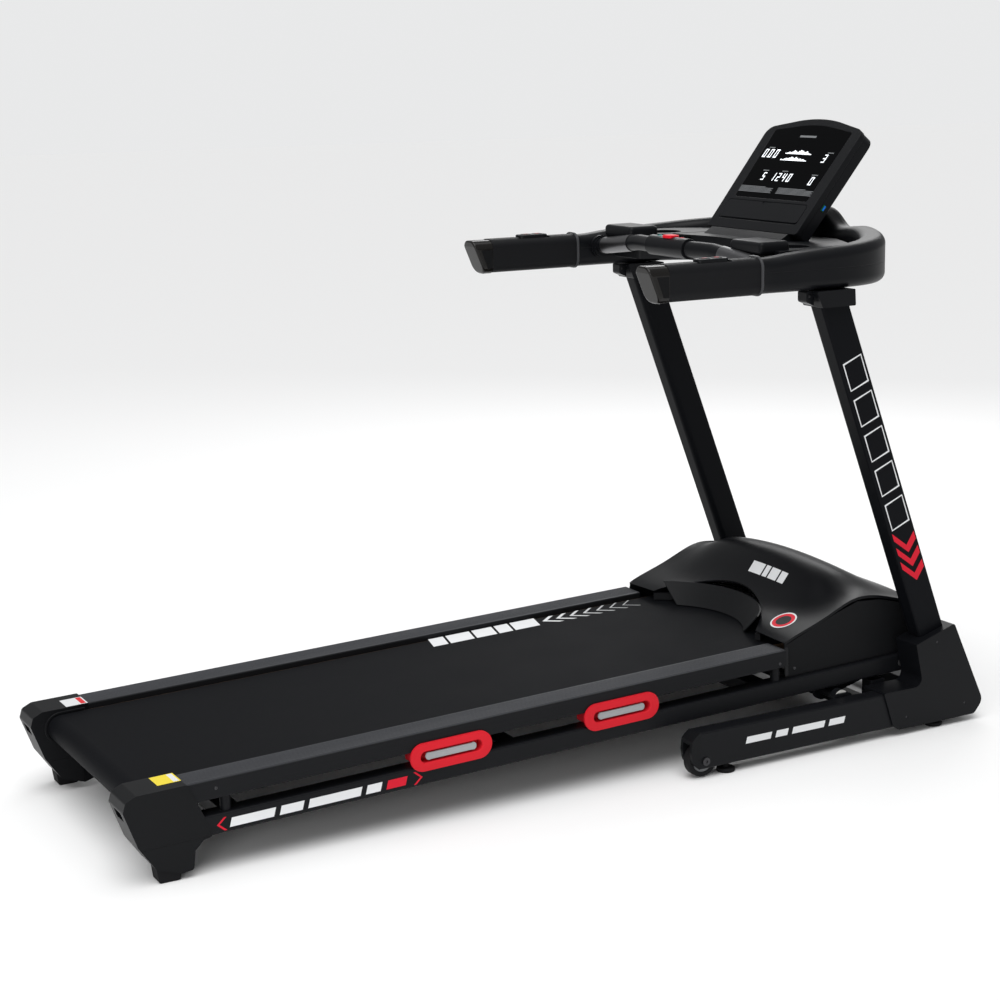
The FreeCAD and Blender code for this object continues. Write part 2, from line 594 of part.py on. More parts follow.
def walking_belt():
    return on_deck(band(REAR_ROLLER_X, ROLLER_Z, BELT_INNER_R, FRONT_ROLLER_X, ROLLER_Z, BELT_INNER_R,
                        BELT_THICK, -BELT_HALF, BELT_HALF))


def front_roller():
    drum = rod_y(FRONT_ROLLER_X, ROLLER_Z, ROLLER_R, -240, 240)
    stub = rod_y(FRONT_ROLLER_X, ROLLER_Z, 8, -286, 286)
    pulley = rod_y(FRONT_ROLLER_X, ROLLER_Z, PULLEY_R, PULLEY_Y[0], PULLEY_Y[1])
    for y in (-260.5, -257, -253.5):
        groove = rod_y(FRONT_ROLLER_X, ROLLER_Z, PULLEY_R + 1, y, y + 1.2)
        pulley = pulley.cut(groove.cut(rod_y(FRONT_ROLLER_X, ROLLER_Z, PULLEY_R - 1, y, y + 1.2)))
    return on_deck(drum.fuse(stub).fuse(pulley).removeSplitter())


def rear_roller():
    drum = rod_y(REAR_ROLLER_X, ROLLER_Z, ROLLER_R, -237, 237)
    stub = rod_y(REAR_ROLLER_X, ROLLER_Z, 8, -256, 256)
    return on_deck(drum.fuse(stub).removeSplitter())


def motor_pulley():
    pulley = rod_y(MOTOR_X, MOTOR_Z, MOTOR_PULLEY_R, PULLEY_Y[0], PULLEY_Y[1])
    flywheel = rod_y(MOTOR_X, MOTOR_Z, 44, -242, -228)
    shaft = rod_y(MOTOR_X, MOTOR_Z, 8, -246, -190)
    return on_deck(pulley.fuse(flywheel).fuse(shaft).removeSplitter())


def drive_belt():
    return on_deck(band(FRONT_ROLLER_X, ROLLER_Z, PULLEY_R + CLEAR, MOTOR_X, MOTOR_Z, MOTOR_PULLEY_R + CLEAR,
                        2.5, -262, -248))


def drive_motor():
    """Drive motor with end bells and a cradle foot."""
    can = rod_y(MOTOR_X, MOTOR_Z, 46, -206, -70)
    for y in (-222, -70):
        bell = rod_y(MOTOR_X, MOTOR_Z, 42, y, y + 16)
        can = can.fuse(bell)
    foot = block(MOTOR_X - 45, MOTOR_X + 45, -190, -90, 135.6, 165)
    shaft_hole = rod_y(MOTOR_X, MOTOR_Z, 8 + SHAFT_PLAY, -230, -185)
    return on_deck(can.fuse(foot).cut(shaft_hole).removeSplitter())


def motor_controller():
    box = block(650, 720, 70, 230, 135.6, 190)
    for i in range(11):
        y = 75 + i * 14
        box = box.cut(block(648, 722, y, y + 7, 172, 191))
    return on_deck(box)


def rear_cap():
    """Moulded cap at the rear of the rail and tube; carries the rear roller."""
    outline = [(-824.5, 199.6, 4), (-919, 199.8, 10), (-939, 191, 8), (-945.2, 173, 8), (-923, 103, 10),
               (-893, 55, 16), (-847, 38, 14), (-825, 40.5, 6), (-820, 74.5, 5), (-803, 91, 3),
               (-786, 94, 2), (-799, 136, 2)]
    cap = side_prism(outline, -RAIL_OUTER - 2.5, -241)
    chamfer = plan_prism([(-852, -240, 0), (-780, -266, 0), (-780, -230, 0)], 0, 300)
    cap = cap.cut(chamfer)
    rail_pocket = block(RAIL_REAR - CLEAR, -700, -RAIL_OUTER - CLEAR, -RAIL_INNER + 10, RAIL_BOTTOM - CLEAR, 210)
    tube_pocket = block(TUBE_REAR - CLEAR, -700, -RAIL_OUTER - CLEAR, -TUBE_INNER + CLEAR,
                        TUBE_BOTTOM - CLEAR, TUBE_TOP + CLEAR)
    board_pocket = block(-849, -700, -247, -230, 150, 187)
    hollow = block(-905, -850, -305, -262, 100, 185)
    slot = block(-960, -930, -300, -262, 150, 168)
    bore = rod_y(REAR_ROLLER_X, ROLLER_Z, 8 + SHAFT_PLAY, -262, -230)
    cap = cap.cut(rail_pocket).cut(tube_pocket).cut(board_pocket).cut(hollow).cut(slot).cut(bore)
    return on_deck(cap).cut(rear_foot(0.2))


def rear_foot(extra):
    """Rubber foot, flat on the floor while the deck is down."""
    outline = [(-895 - extra, 36 + extra, 2), (-890 - extra, 0 - extra, 6), (-850 + extra, 0 - extra, 6),
               (-846 + extra, 36 + extra, 2)]
    return side_prism(outline, -316 - extra, -282 + extra)


# ---- motor hood --------------------------------------------------------------------------
def hood_loft(drop, inset, skirt, x_shift_rear, x_shift_front):
    wires = []
    for i, (x, edge, crest) in enumerate(HOOD_STATIONS):
        half = HOOD_HALF - inset
        x += x_shift_rear if i == 0 else x_shift_front if i == len(HOOD_STATIONS) - 1 else 0
        rise = crest - edge
        heights = ((-1, 0), (-0.86, 0.12), (-0.68, 0.55), (-0.4, 0.88), (0, 1), (0.4, 0.88), (0.68, 0.55),
                   (0.86, 0.12), (1, 0))
        points = [V(x, a * half, edge - drop + rise * b) for a, b in heights]
        crown = Part.BSplineCurve()
        crown.interpolate(points)
        low = edge - drop - skirt
        right_low, left_low = V(x, -half, low), V(x, half, low)
        wires.append(Part.Wire([crown.toShape(), Part.makeLine(points[-1], left_low),
                                Part.makeLine(left_low, right_low), Part.makeLine(right_low, points[0])]))
    return Part.makeLoft(wires, True, False)


def hood_top():
    shell = hood_loft(0, 0, 6, 0, 0).cut(hood_loft(3, 3, 14, -4, -3))
    mouth = rod_z(APRON_X, 0, APRON_TOP_R + 0.2, 150, 400)
    return on_deck(shell.cut(mouth))


def hood_apron():
    """Matte lip that closes the hood's mouth down to the belt, a slice of a cone."""
    rise = APRON_TOP_Z - APRON_FOOT_Z
    cone = Part.makeCone(APRON_FOOT_R, APRON_TOP_R, rise, V(APRON_X, 0, APRON_FOOT_Z))
    inside = Part.makeCone(APRON_FOOT_R - 3, APRON_TOP_R - 3, rise, V(APRON_X, 0, APRON_FOOT_Z))
    keep = block(505, 600, -196, 196, 150, 300)
    return on_deck(cone.cut(inside).common(keep))


def hood_sides():
    outline = [(488, 133, 2), (488, 202.5, 0), (560, 227.5, 0), (620, 248, 0), (680, 265, 0), (740, 259, 0),
               (800, 242, 0), (855, 226, 0), (855, 133, 2)]
    panel = side_prism(outline, -HOOD_HALF, -HOOD_HALF + 3)
    return on_deck(both_sides(panel))


def belly_pan():
    """Sheet floor of the motor bay with its front wall, holed for inlet and switch."""
    floor = block(610, 852, -300, 300, 132.5, 135.5).cut(block(600, 660, -267, -243, 130, 140))
    front = block(849, 852, -300, 300, 135.5, 226)
    front = front.cut(block(840, 860, 150, 186, 152, 180)).cut(block(840, 860, 210, 234, 156, 176))
    return on_deck(floor.fuse(front).removeSplitter())


def power_inlet():
    """Recessed three-pin mains inlet."""
    body = block(826, 853.5, 151, 185, 153, 179)
    body = body.fuse(block(852.2, 854.6, 146, 190, 149, 183))
    body = body.cut(block(836, 860, 155, 181, 157, 175))
    for y in (160, 168, 176):
        body = body.fuse(block(830, 849, y - 1, y + 1, 163, 169))
    return on_deck(body.removeSplitter())


def power_rocker():
    """Rocker of the mains switch, rocked to its off side."""
    wedge = side_prism([(844, 157.5, 1), (844, 174.5, 1), (856.3, 174.5, 1), (852.5, 166, 0), (853.6, 157.5, 1)],
                       211, 233)
    return on_deck(wedge.fuse(rod_y(ROCKER_X, ROCKER_Z, 1.5, 210.2, 233.8)).removeSplitter())


# ---- write the parts ------------------------------------------------------------------------
save("base_tube_right", base_tube())
save("base_tube_left", mirrored(base_tube()))
save("base_cross_frame", base_cross_frame())
save("base_tube_caps", both_sides(tube_cap()))
feet = [base_foot(290, BASE_BOTTOM), base_foot(835, BASE_BOTTOM)]
save("base_feet", Part.makeCompound(feet + [mirrored(f) for f in feet]))
save("transport_wheel_right", transport_wheel())
save("transport_wheel_left", mirrored(transport_wheel()))
save("boot_cover_right", boot())
save("boot_cover_left", mirrored(boot()))
save("upright_right", upright())
save("upright_left", mirrored(upright()))
save("upright_collars", both_sides(collar()))
save("frame_bolts", frame_bolts())

save("handlebar_right", handlebar())
save("handlebar_left", mirrored(handlebar()))
save("grips", both_sides(grip()))
save("grip_caps", both_sides(grip_cap()))
save("grip_keypads", both_sides(keypad()))
for name, x, side in (("speed_down_key", 247, -1), ("speed_up_key", 275, -1),
                      ("incline_down_key", 247, 1), ("incline_up_key", 275, 1)):
    save(name, key(x, side))
save("pulse_bar", pulse_bar())
save("pulse_hub", pulse_hub())
plates = [pulse_sensor(1), pulse_sensor(-1)]
save("pulse_sensors", Part.makeCompound(plates + [mirrored(p) for p in plates]))
save("safety_key", safety_key())

save("console_base", console_base())
save("console_shell", console_shell())
save("console_bezel", console_bezel())
save("screen", screen())
save("tablet_flap", tablet_flap())
save("circuit_board", circuit_board())

save("lift_frame", lift_frame())
save("fold_shaft", fold_shaft())
save("lift_motor", lift_motor())
save("lift_rod", lift_rod())

save("deck_tube_right", deck_tube())
save("deck_tube_left", mirrored(deck_tube()))
save("deck_cross_members", deck_cross_members())
save("deck_board", deck_board())
save("side_rail_right", side_rail())
save("side_rail_left", mirrored(side_rail()))
save("rail_posts", rail_posts())
save("cushions", cushions())
save("rear_cap_right", rear_cap())
save("rear_cap_left", mirrored(rear_cap()))
save("rear_feet", both_sides(rear_foot(0)))
save("walking_belt", walking_belt())
save("front_roller", front_roller())
save("rear_roller", rear_roller())
save("drive_motor", drive_motor())
save("motor_pulley", motor_pulley())
save("drive_belt", drive_belt())
save("motor_controller", motor_controller())
save("hood_top", hood_top())
save("hood_apron", hood_apron())
save("hood_sides", hood_sides())
save("belly_pan", belly_pan())
save("power_inlet", power_inlet())
save("power_rocker", power_rocker())
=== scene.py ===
import math

import bmesh
import bpy
from mathutils import Matrix, Vector
from mathutils.bvhtree import BVHTree


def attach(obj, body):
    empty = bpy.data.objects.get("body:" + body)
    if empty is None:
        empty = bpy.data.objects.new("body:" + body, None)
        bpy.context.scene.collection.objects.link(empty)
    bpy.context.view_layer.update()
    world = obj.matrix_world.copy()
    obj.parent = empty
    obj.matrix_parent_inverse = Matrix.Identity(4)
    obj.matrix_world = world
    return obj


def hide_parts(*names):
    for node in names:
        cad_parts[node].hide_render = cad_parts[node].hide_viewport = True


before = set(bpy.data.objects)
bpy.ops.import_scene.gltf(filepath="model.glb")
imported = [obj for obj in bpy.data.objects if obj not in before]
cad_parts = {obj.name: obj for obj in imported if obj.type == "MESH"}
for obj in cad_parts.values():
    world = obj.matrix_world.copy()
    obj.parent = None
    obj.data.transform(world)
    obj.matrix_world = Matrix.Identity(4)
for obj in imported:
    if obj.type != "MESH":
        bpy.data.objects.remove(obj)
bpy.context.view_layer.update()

# A folding home treadmill, standing with its console towards +X.
# Everything is in metres; the CAD parts stay where they are and get their finishes here.

# ---- studio: pale floor, soft boxes and the camera ------------------------------------------
# The machine stands on a seamless pale floor. Large soft boxes sit overhead, beyond the
# console and at the user's end, so that the black finishes show long soft reflections.
floor_mesh = bpy.data.meshes.new("floor")
shape = bmesh.new()
floor_reach = 30
bmesh.ops.create_grid(shape, x_segments=1, y_segments=1, size=floor_reach)
shape.to_mesh(floor_mesh)
shape.free()
floor = bpy.data.objects.new("floor", floor_mesh)
bpy.context.scene.collection.objects.link(floor)

floor_paint = bpy.data.materials.new("floor_paint")
floor_paint.use_nodes = True
floor_paint.node_tree.nodes["Principled BSDF"].inputs["Base Color"].default_value = (0.86, 0.86, 0.86, 1)
floor_paint.node_tree.nodes["Principled BSDF"].inputs["Roughness"].default_value = 0.9
floor_mesh.materials.append(floor_paint)

# The sky lights the machine softly, and shows white where the camera looks past the floor.
sky = bpy.data.worlds.new("studio")
bpy.context.scene.world = sky
sky.use_nodes = True
sky_nodes, sky_links = sky.node_tree.nodes, sky.node_tree.links
sky_nodes["Background"].inputs["Color"].default_value = (0.99, 0.995, 1, 1)
seen = sky_nodes.new("ShaderNodeLightPath")
sky_power = sky_nodes.new("ShaderNodeMapRange")
sky_on_machine, sky_in_view = 0.38, 0.82
sky_power.inputs["To Min"].default_value = sky_on_machine
sky_power.inputs["To Max"].default_value = sky_in_view
sky_links.new(seen.outputs["Is Camera Ray"], sky_power.inputs["Value"])
sky_links.new(sky_power.outputs["Result"], sky_nodes["Background"].inputs["Strength"])
bpy.context.scene.view_settings.view_transform = "Standard"

sun_data = bpy.data.lights.new("overhead", "SUN")
sun_data.energy = 2.05
sun_data.angle = math.radians(50)
sun = bpy.data.objects.new("overhead", sun_data)
bpy.context.scene.collection.objects.link(sun)
sun.rotation_euler = (math.radians(18), math.radians(-14), 0)


def soft_box(name, place, aim, size, power):
    lamp = bpy.data.lights.new(name, "AREA")
    lamp.shape = "RECTANGLE"
    lamp.size, lamp.size_y = size
    lamp.energy = power
    box = bpy.data.objects.new(name, lamp)
    bpy.context.scene.collection.objects.link(box)
    box.location = place
    box.rotation_euler = (Vector(aim) - Vector(place)).to_track_quat("-Z", "Y").to_euler()


soft_box("top_box", (0.2, 0.3, 3.6), (0, 0, 0.2), (3.0, 2.0), 22)
soft_box("left_box", (-3.6, -1.2, 2.6), (0, 0, 0.5), (2.0, 2.0), 20)
soft_box("low_box", (-2.7, -2.6, 0.9), (-0.9, -0.3, 0.1), (1.2, 0.8), 28)
soft_box("rim_box", (2.6, 2.6, 2.6), (0.3, 0, 0.6), (2.4, 1.6), 34)

# The camera looks down at the machine from the user's end, on its right-hand side.
lens_heading, lens_pitch, lens_roll = 59.42, -12.06, -0.71
camera_data = bpy.data.cameras.new("camera")
camera_data.sensor_width = 36
camera_data.lens = 73.83
camera_data.shift_x, camera_data.shift_y = -0.08, -0.003
camera = bpy.data.objects.new("camera", camera_data)
bpy.context.scene.collection.objects.link(camera)
turn = Matrix.Rotation(math.radians(lens_heading - 90), 3, "Z")
turn = turn @ Matrix.Rotation(math.radians(90 + lens_pitch), 3, "X")
turn = turn @ Matrix.Rotation(math.radians(lens_roll), 3, "Z")
camera.rotation_euler = turn.to_euler()
camera.location = (-1.9756, -3.6313, 1.4194)
bpy.context.scene.camera = camera


# ---- welded base: side tubes, cross tubes, end caps and feet --------------------------------
# Rectangular steel tube, welded and powder coated satin black with a very fine grain.
# The plastic nose caps hold the transport wheels; rubber pads carry the base.
def powder_coat(name, colour, roughness, grain, depth):
    """Fine orange-peel coat: bump from small noise, gloss and tone drifting over the part."""
    coat = bpy.data.materials.new(name)
    coat.use_nodes = True
    nodes, links = coat.node_tree.nodes, coat.node_tree.links
    shader = nodes["Principled BSDF"]
    shader.inputs["Specular IOR Level"].default_value = 0.12
    place = nodes.new("ShaderNodeTexCoord")
    fine = nodes.new("ShaderNodeTexNoise")
    fine.inputs["Scale"].default_value = 1 / grain
    fine.inputs["Detail"].default_value = 3
    links.new(place.outputs["Object"], fine.inputs["Vector"])
    peel = nodes.new("ShaderNodeBump")
    peel.inputs["Strength"].default_value = 0.35
    peel.inputs["Distance"].default_value = depth
    links.new(fine.outputs["Fac"], peel.inputs["Height"])
    links.new(peel.outputs["Normal"], shader.inputs["Normal"])
    broad = nodes.new("ShaderNodeTexNoise")
    broad.inputs["Scale"].default_value = 5
    broad.inputs["Detail"].default_value = 4
    links.new(place.outputs["Object"], broad.inputs["Vector"])
    gloss = nodes.new("ShaderNodeMapRange")
    gloss.inputs["To Min"].default_value = roughness - 0.06
    gloss.inputs["To Max"].default_value = roughness + 0.06
    links.new(broad.outputs["Fac"], gloss.inputs["Value"])
    links.new(gloss.outputs["Result"], shader.inputs["Roughness"])
    tone = nodes.new("ShaderNodeMix")
    tone.data_type = "RGBA"
    tone.inputs["A"].default_value = [c * 0.8 for c in colour] + [1]
    tone.inputs["B"].default_value = [c * 1.25 for c in colour] + [1]
    links.new(broad.outputs["Fac"], tone.inputs["Factor"])
    links.new(tone.outputs["Result"], shader.inputs["Base Color"])
    return coat


def tune(coat, socket, value):
    """Sets one constant socket of a finish."""
    coat.node_tree.nodes["Principled BSDF"].inputs[socket].default_value = value


def dress(finish, *nodes):
    """Gives CAD parts a finish."""
    for node in nodes:
        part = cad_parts[node]
        for seat in part.material_slots:
            seat.material = finish


def soften(node, body, finish, edge, sharp=32, segments=2):
    """A copy of a CAD part with its long edges rounded, as a moulding or a bent tube has them."""
    shape = bmesh.new()
    shape.from_mesh(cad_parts[node].data)
    bmesh.ops.remove_doubles(shape, verts=shape.verts, dist=2e-5)
    bmesh.ops.dissolve_limit(shape, angle_limit=math.radians(1.2), verts=shape.verts, edges=shape.edges)
    corners = [e for e in shape.edges if len(e.link_faces) == 2 and e.calc_face_angle() > math.radians(sharp)]
    bmesh.ops.bevel(shape, geom=corners, offset=edge, segments=segments, profile=0.5, affect="EDGES",
                    material=-1, clamp_overlap=True)
    return place_piece(node + "_piece", shape, body, finish, node)


def place_piece(name, shape, body, finish, *nodes):
    """Turns a bmesh into a piece on a body, shaded smooth with flat faces kept flat."""
    mesh = bpy.data.meshes.new(name)
    for face in shape.faces:
        face.smooth = True
    shape.to_mesh(mesh)
    shape.free()
    mesh.materials.append(finish)
    mesh.set_sharp_from_angle(angle=math.radians(40))
    piece = bpy.data.objects.new(name, mesh)
    bpy.context.scene.collection.objects.link(piece)
    weigh = piece.modifiers.new("weighted", "WEIGHTED_NORMAL")
    weigh.keep_sharp = True
    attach(piece, body)
    if nodes:
        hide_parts(*nodes)
    return piece


side_names = {-1: "right", 1: "left"}
frame_paint = powder_coat("frame_paint", (0.0055, 0.0059, 0.0071), 0.4, 0.0012, 0.00012)
moulded_black = powder_coat("moulded_black", (0.005, 0.0055, 0.0063), 0.42, 0.0009, 0.0001)
foot_rubber = powder_coat("foot_rubber", (0.0067, 0.0067, 0.0076), 0.7, 0.0015, 0.0002)
for side in ("right", "left"):
    soften("base_tube_" + side, "base", frame_paint, 0.0012)
dress(frame_paint, "base_cross_frame")
soften("base_tube_caps", "base", moulded_black, 0.0022, sharp=20, segments=3)
dress(foot_rubber, "base_feet")


# ---- base nose caps and transport wheels ----------------------------------------------------
# Each side tube ends in a glued-in plastic nose. A black wheel with a grey spoked hub turns
# in its slot on a bolt, so the folded machine can be tipped and rolled away.
def square_ring(shape, centre, outer, inner, wide):
    """A ring of rectangular section turned about an axis along Y."""
    low = centre - Vector((0, wide / 2, 0))
    section = [shape.verts.new(low + Vector(p)) for p in
               ((inner, 0, 0), (outer, 0, 0), (outer, wide, 0), (inner, wide, 0))]
    edges = [shape.edges.new((section[i], section[(i + 1) % 4])) for i in range(4)]
    bmesh.ops.spin(shape, geom=section + edges, cent=centre, axis=(0, 1, 0), angle=math.tau, steps=48,
                   use_merge=True)
    bmesh.ops.recalc_face_normals(shape, faces=shape.faces)


wheel_grey = powder_coat("wheel_grey", (0.16, 0.165, 0.17), 0.5, 0.002, 0.0001)
tyre_black = powder_coat("tyre_black", (0.0084, 0.0084, 0.0092), 0.65, 0.0015, 0.0002)
wheel_x, wheel_y, wheel_z = 0.228, 0.3655, 0.037
hub_outwards = 0.0095
spokes = 5
for side, label in side_names.items():
    dress(tyre_black, "transport_wheel_" + label)
    hub = bmesh.new()
    centre = Vector((wheel_x, side * (wheel_y + hub_outwards), wheel_z))
    square_ring(hub, centre, 0.0245, 0.0112, 0.0012)
    for spoke in range(spokes):
        rib = bmesh.ops.create_cube(hub, size=1)["verts"]
        bmesh.ops.scale(hub, verts=rib, vec=(0.0125, 0.0018, 0.003))
        bmesh.ops.translate(hub, verts=rib, vec=(0.018, 0, 0))
        spoke_turn = Matrix.Rotation(spoke * math.tau / spokes, 3, "Y")
        bmesh.ops.rotate(hub, verts=rib, cent=(0, 0, 0), matrix=spoke_turn)
        bmesh.ops.translate(hub, verts=rib, vec=centre)
    place_piece("wheel_hub_" + label, hub, "wheel_" + label, wheel_grey)

# ---- boot covers over the feet of the uprights ----------------------------------------------
# Injection-moulded covers hide the weld between base tube and upright. The
# edges are generously rounded, and sunk screws hold each one.
boot_black = powder_coat("boot_black", (0.0046, 0.005, 0.0061), 0.34, 0.0008, 0.0001)
# Painted shade: the uprights get a darker, less shiny copy of the frame's powder coat, because they catch
# less light than the base tubes.
upright_shaded_paint = powder_coat("upright_shaded_paint", (0.0038, 0.0042, 0.0054), 0.44, 0.0012, 0.00012)
tune(upright_shaded_paint, "Specular IOR Level", 0.06)
for side in ("right", "left"):
    soften("boot_cover_" + side, "base", boot_black, 0.0032, segments=3)

# ---- uprights -------------------------------------------------------------------------------
# Raked rectangular steel tubes, powder coated, in a darker copy of the frame's coat as painted shade.
# Plastic collars close the joint with the handlebar; a black screw holds the tab of each collar.
for side in ("right", "left"):
    soften("upright_" + side, "base", upright_shaded_paint, 0.0018)
soften("upright_collars", "base", boot_black, 0.0012)

screw_black = bpy.data.materials.new("screw_black")
screw_black.use_nodes = True
screw_nodes = screw_black.node_tree.nodes
screw_shader = screw_nodes["Principled BSDF"]
screw_shader.inputs["Metallic"].default_value = 0.9
screw_place = screw_nodes.new("ShaderNodeTexCoord")
screw_wear = screw_nodes.new("ShaderNodeTexNoise")
screw_wear.inputs["Scale"].default_value = 700
screw_tone = screw_nodes.new("ShaderNodeValToRGB")
screw_tone.color_ramp.elements[0].color = (0.02, 0.02, 0.022, 1)
screw_tone.color_ramp.elements[1].color = (0.09, 0.09, 0.095, 1)
screw_gloss = screw_nodes.new("ShaderNodeMapRange")
screw_gloss.inputs["To Min"].default_value = 0.25
screw_gloss.inputs["To Max"].default_value = 0.5
screw_links = screw_black.node_tree.links
screw_links.new(screw_place.outputs["Object"], screw_wear.inputs["Vector"])
screw_links.new(screw_wear.outputs["Fac"], screw_tone.inputs["Fac"])
screw_links.new(screw_tone.outputs["Color"], screw_shader.inputs["Base Color"])
screw_links.new(screw_wear.outputs["Fac"], screw_gloss.inputs["Value"])
screw_links.new(screw_gloss.outputs["Result"], screw_shader.inputs["Roughness"])
dress(screw_black, "frame_bolts")


# ---- printed stripes on uprights, base tubes and deck tubes ---------------------------------
# Screen-printed ink on the powder coat: slanted outlined bars with three red arrowheads
# down each upright, and plain dashes on the tubes. Each print is a thin raised film.
def ink(name, colour):
    """Screen ink: slightly uneven cover, so tone and gloss vary a little."""
    film = powder_coat(name, colour, 0.45, 0.0006, 0.00003)
    film.node_tree.nodes["Mix"].inputs["A"].default_value = [c * 0.9 for c in colour] + [1]
    film.node_tree.nodes["Mix"].inputs["B"].default_value = [c * 1.04 for c in colour] + [1]
    return film


def print_film(name, patches, origin, across, up, body, colour, thick=0.00015):
    """Flat patches, each a list of (a, b) corners, laid on a plane and given the film's thickness."""
    film = bmesh.new()
    out = across.cross(up).normalized()
    for patch in patches:
        corners = [film.verts.new(origin + across * a + up * b + out * 0.00004) for a, b in patch]
        film.faces.new(corners)
    sheet = list(film.faces)
    lifted = bmesh.ops.extrude_face_region(film, geom=sheet)["geom"]
    bmesh.ops.translate(film, verts=[v for v in lifted if isinstance(v, bmesh.types.BMVert)], vec=out * thick)
    bmesh.ops.recalc_face_normals(film, faces=film.faces)
    return place_piece(name, film, body, colour)


def outlined(patch, line):
    """The four borders of a four-cornered patch, as patches of their own."""
    middle = [sum(c[i] for c in patch) / 4 for i in (0, 1)]
    inner = []
    for a, b in patch:
        reach = math.hypot(a - middle[0], b - middle[1])
        keep = 1 - line * 1.5 / reach
        inner.append((middle[0] + (a - middle[0]) * keep, middle[1] + (b - middle[1]) * keep))
    return [[patch[i], patch[(i + 1) % 4], inner[(i + 1) % 4], inner[i]] for i in range(4)]


def slanted(start, length, height, lean, low=0):
    """A four-cornered dash whose ends lean forwards."""
    high = low + height
    return [(start, low), (start + length, low), (start + length + lean, high), (start + lean, high)]


ink_white = ink("ink_white", (0.72, 0.73, 0.74))
ink_red = ink("ink_red", (0.62, 0.012, 0.03))
upright_foot_x, upright_foot_z = 0.8289, 0.098
upright_top_x, upright_top_z = 0.5170, 0.929
upright_face_y, upright_middle = 0.3711, 0.0353
rake = Vector((upright_top_x - upright_foot_x, 0, upright_top_z - upright_foot_z)).normalized()
for side, label in side_names.items():
    across = Vector((-side, 0, 0))
    foot = Vector((upright_foot_x + upright_middle, side * upright_face_y, upright_foot_z))
    blocks = []
    lean = -side * 0.02
    for step in range(5):
        low = 0.372 + step * 0.0815
        blocks += outlined([(-0.0265, low), (0.0265, low + lean), (0.0265, low + lean + 0.062),
                            (-0.0265, low + 0.062)], 0.0026)
    print_film("upright_stripes_" + label, blocks, foot, across, rake, "base", ink_white)
    arrows = []
    for step in range(3):
        tip = 0.25 + step * 0.034
        arrows.append([(-0.029, tip + 0.03), (0, tip), (0, tip + 0.018), (-0.029, tip + 0.048)])
        arrows.append([(0, tip), (0.029, tip + 0.03), (0.029, tip + 0.048), (0, tip + 0.018)])
    print_film("upright_arrows_" + label, arrows, foot, across, rake, "base", ink_red)

    dashes = [slanted(start, length, 0.014, 0.004)
              for start, length in ((0, 0.062), (0.074, 0.03), (0.116, 0.082), (0.21, 0.04))]
    start = Vector((0.3255 if side < 0 else 0.5795, side * 0.38605, 0.056))
    print_film("base_dashes_" + label, dashes, start, across, Vector((0, 0, 1)), "base", ink_white)

# ---- deck frame: tubes, cross members, posts ------------------------------------------------
# Two rectangular tubes run the length of the deck under the foot rails, with posts and
# cushions between. The right-hand and left-hand tube carry printed dashes near the rear.
deck_slope = math.radians(1.72)
deck_along = Vector((math.cos(deck_slope), 0, math.sin(deck_slope)))
deck_up = Vector((-math.sin(deck_slope), 0, math.cos(deck_slope)))


def on_deck(x, y, z):
    """A point given on the level deck, in metres, where the sloping deck has it."""
    return deck_along * x + deck_up * z + Vector((0, y, 0))


for side in ("right", "left"):
    soften("deck_tube_" + side, "deck", frame_paint, 0.0012)
dress(frame_paint, "deck_cross_members", "rail_posts", "lift_frame")
for side, label in side_names.items():
    across = deck_along * -side
    dashes = [slanted(start, length, 0.017, 0.005)
              for start, length in ((0, 0.085), (0.096, 0.045), (0.152, 0.105), (0.268, 0.03))]
    marks = [slanted(0.31, 0.04, 0.017, 0.005)]
    for tip, reach in ((-0.024, 0.014), (0.381, -0.014)):
        end = tip + reach
        marks.append([(tip, 0.0085), (end, -0.004), (end + 0.005, -0.004), (tip + 0.005, 0.0085)])
        marks.append([(tip, 0.0085), (tip + 0.005, 0.0085), (end + 0.005, 0.021), (end, 0.021)])
    corner = on_deck(-0.752 if side < 0 else -0.395, side * 0.31705, 0.1025)
    print_film("tube_dashes_" + label, dashes, corner, across, deck_up, "deck", ink_white)
    print_film("tube_marks_" + label, marks, corner, across, deck_up, "deck", ink_red)

# ---- foot rails -----------------------------------------------------------------------------
# Extruded aluminium, anodised near black, with fine ribs along the top for grip. The top face is
# painted paler than the sides as a painted highlight, and faint lines run along the extrusion.
rail_grey = bpy.data.materials.new("rail_grey")
rail_grey.use_nodes = True
rail_nodes, rail_links = rail_grey.node_tree.nodes, rail_grey.node_tree.links
rail_shader = rail_nodes["Principled BSDF"]
rail_shader.inputs["Metallic"].default_value = 0.55
rail_shader.inputs["Anisotropic"].default_value = 0.4
rail_shader.inputs["Specular IOR Level"].default_value = 0.15
rail_place = rail_nodes.new("ShaderNodeTexCoord")
rail_stretch = rail_nodes.new("ShaderNodeMapping")
rail_stretch.inputs["Scale"].default_value = (3, 900, 900)
rail_lines = rail_nodes.new("ShaderNodeTexNoise")
rail_lines.inputs["Scale"].default_value = 1
rail_lines.inputs["Detail"].default_value = 4
rail_links.new(rail_place.outputs["Object"], rail_stretch.inputs["Vector"])
rail_links.new(rail_stretch.outputs["Vector"], rail_lines.inputs["Vector"])
rail_tone = rail_nodes.new("ShaderNodeValToRGB")
rail_tone.color_ramp.elements[0].color = (0.028, 0.029, 0.033, 1)
rail_tone.color_ramp.elements[1].color = (0.048, 0.05, 0.055, 1)
rail_links.new(rail_lines.outputs["Fac"], rail_tone.inputs["Fac"])
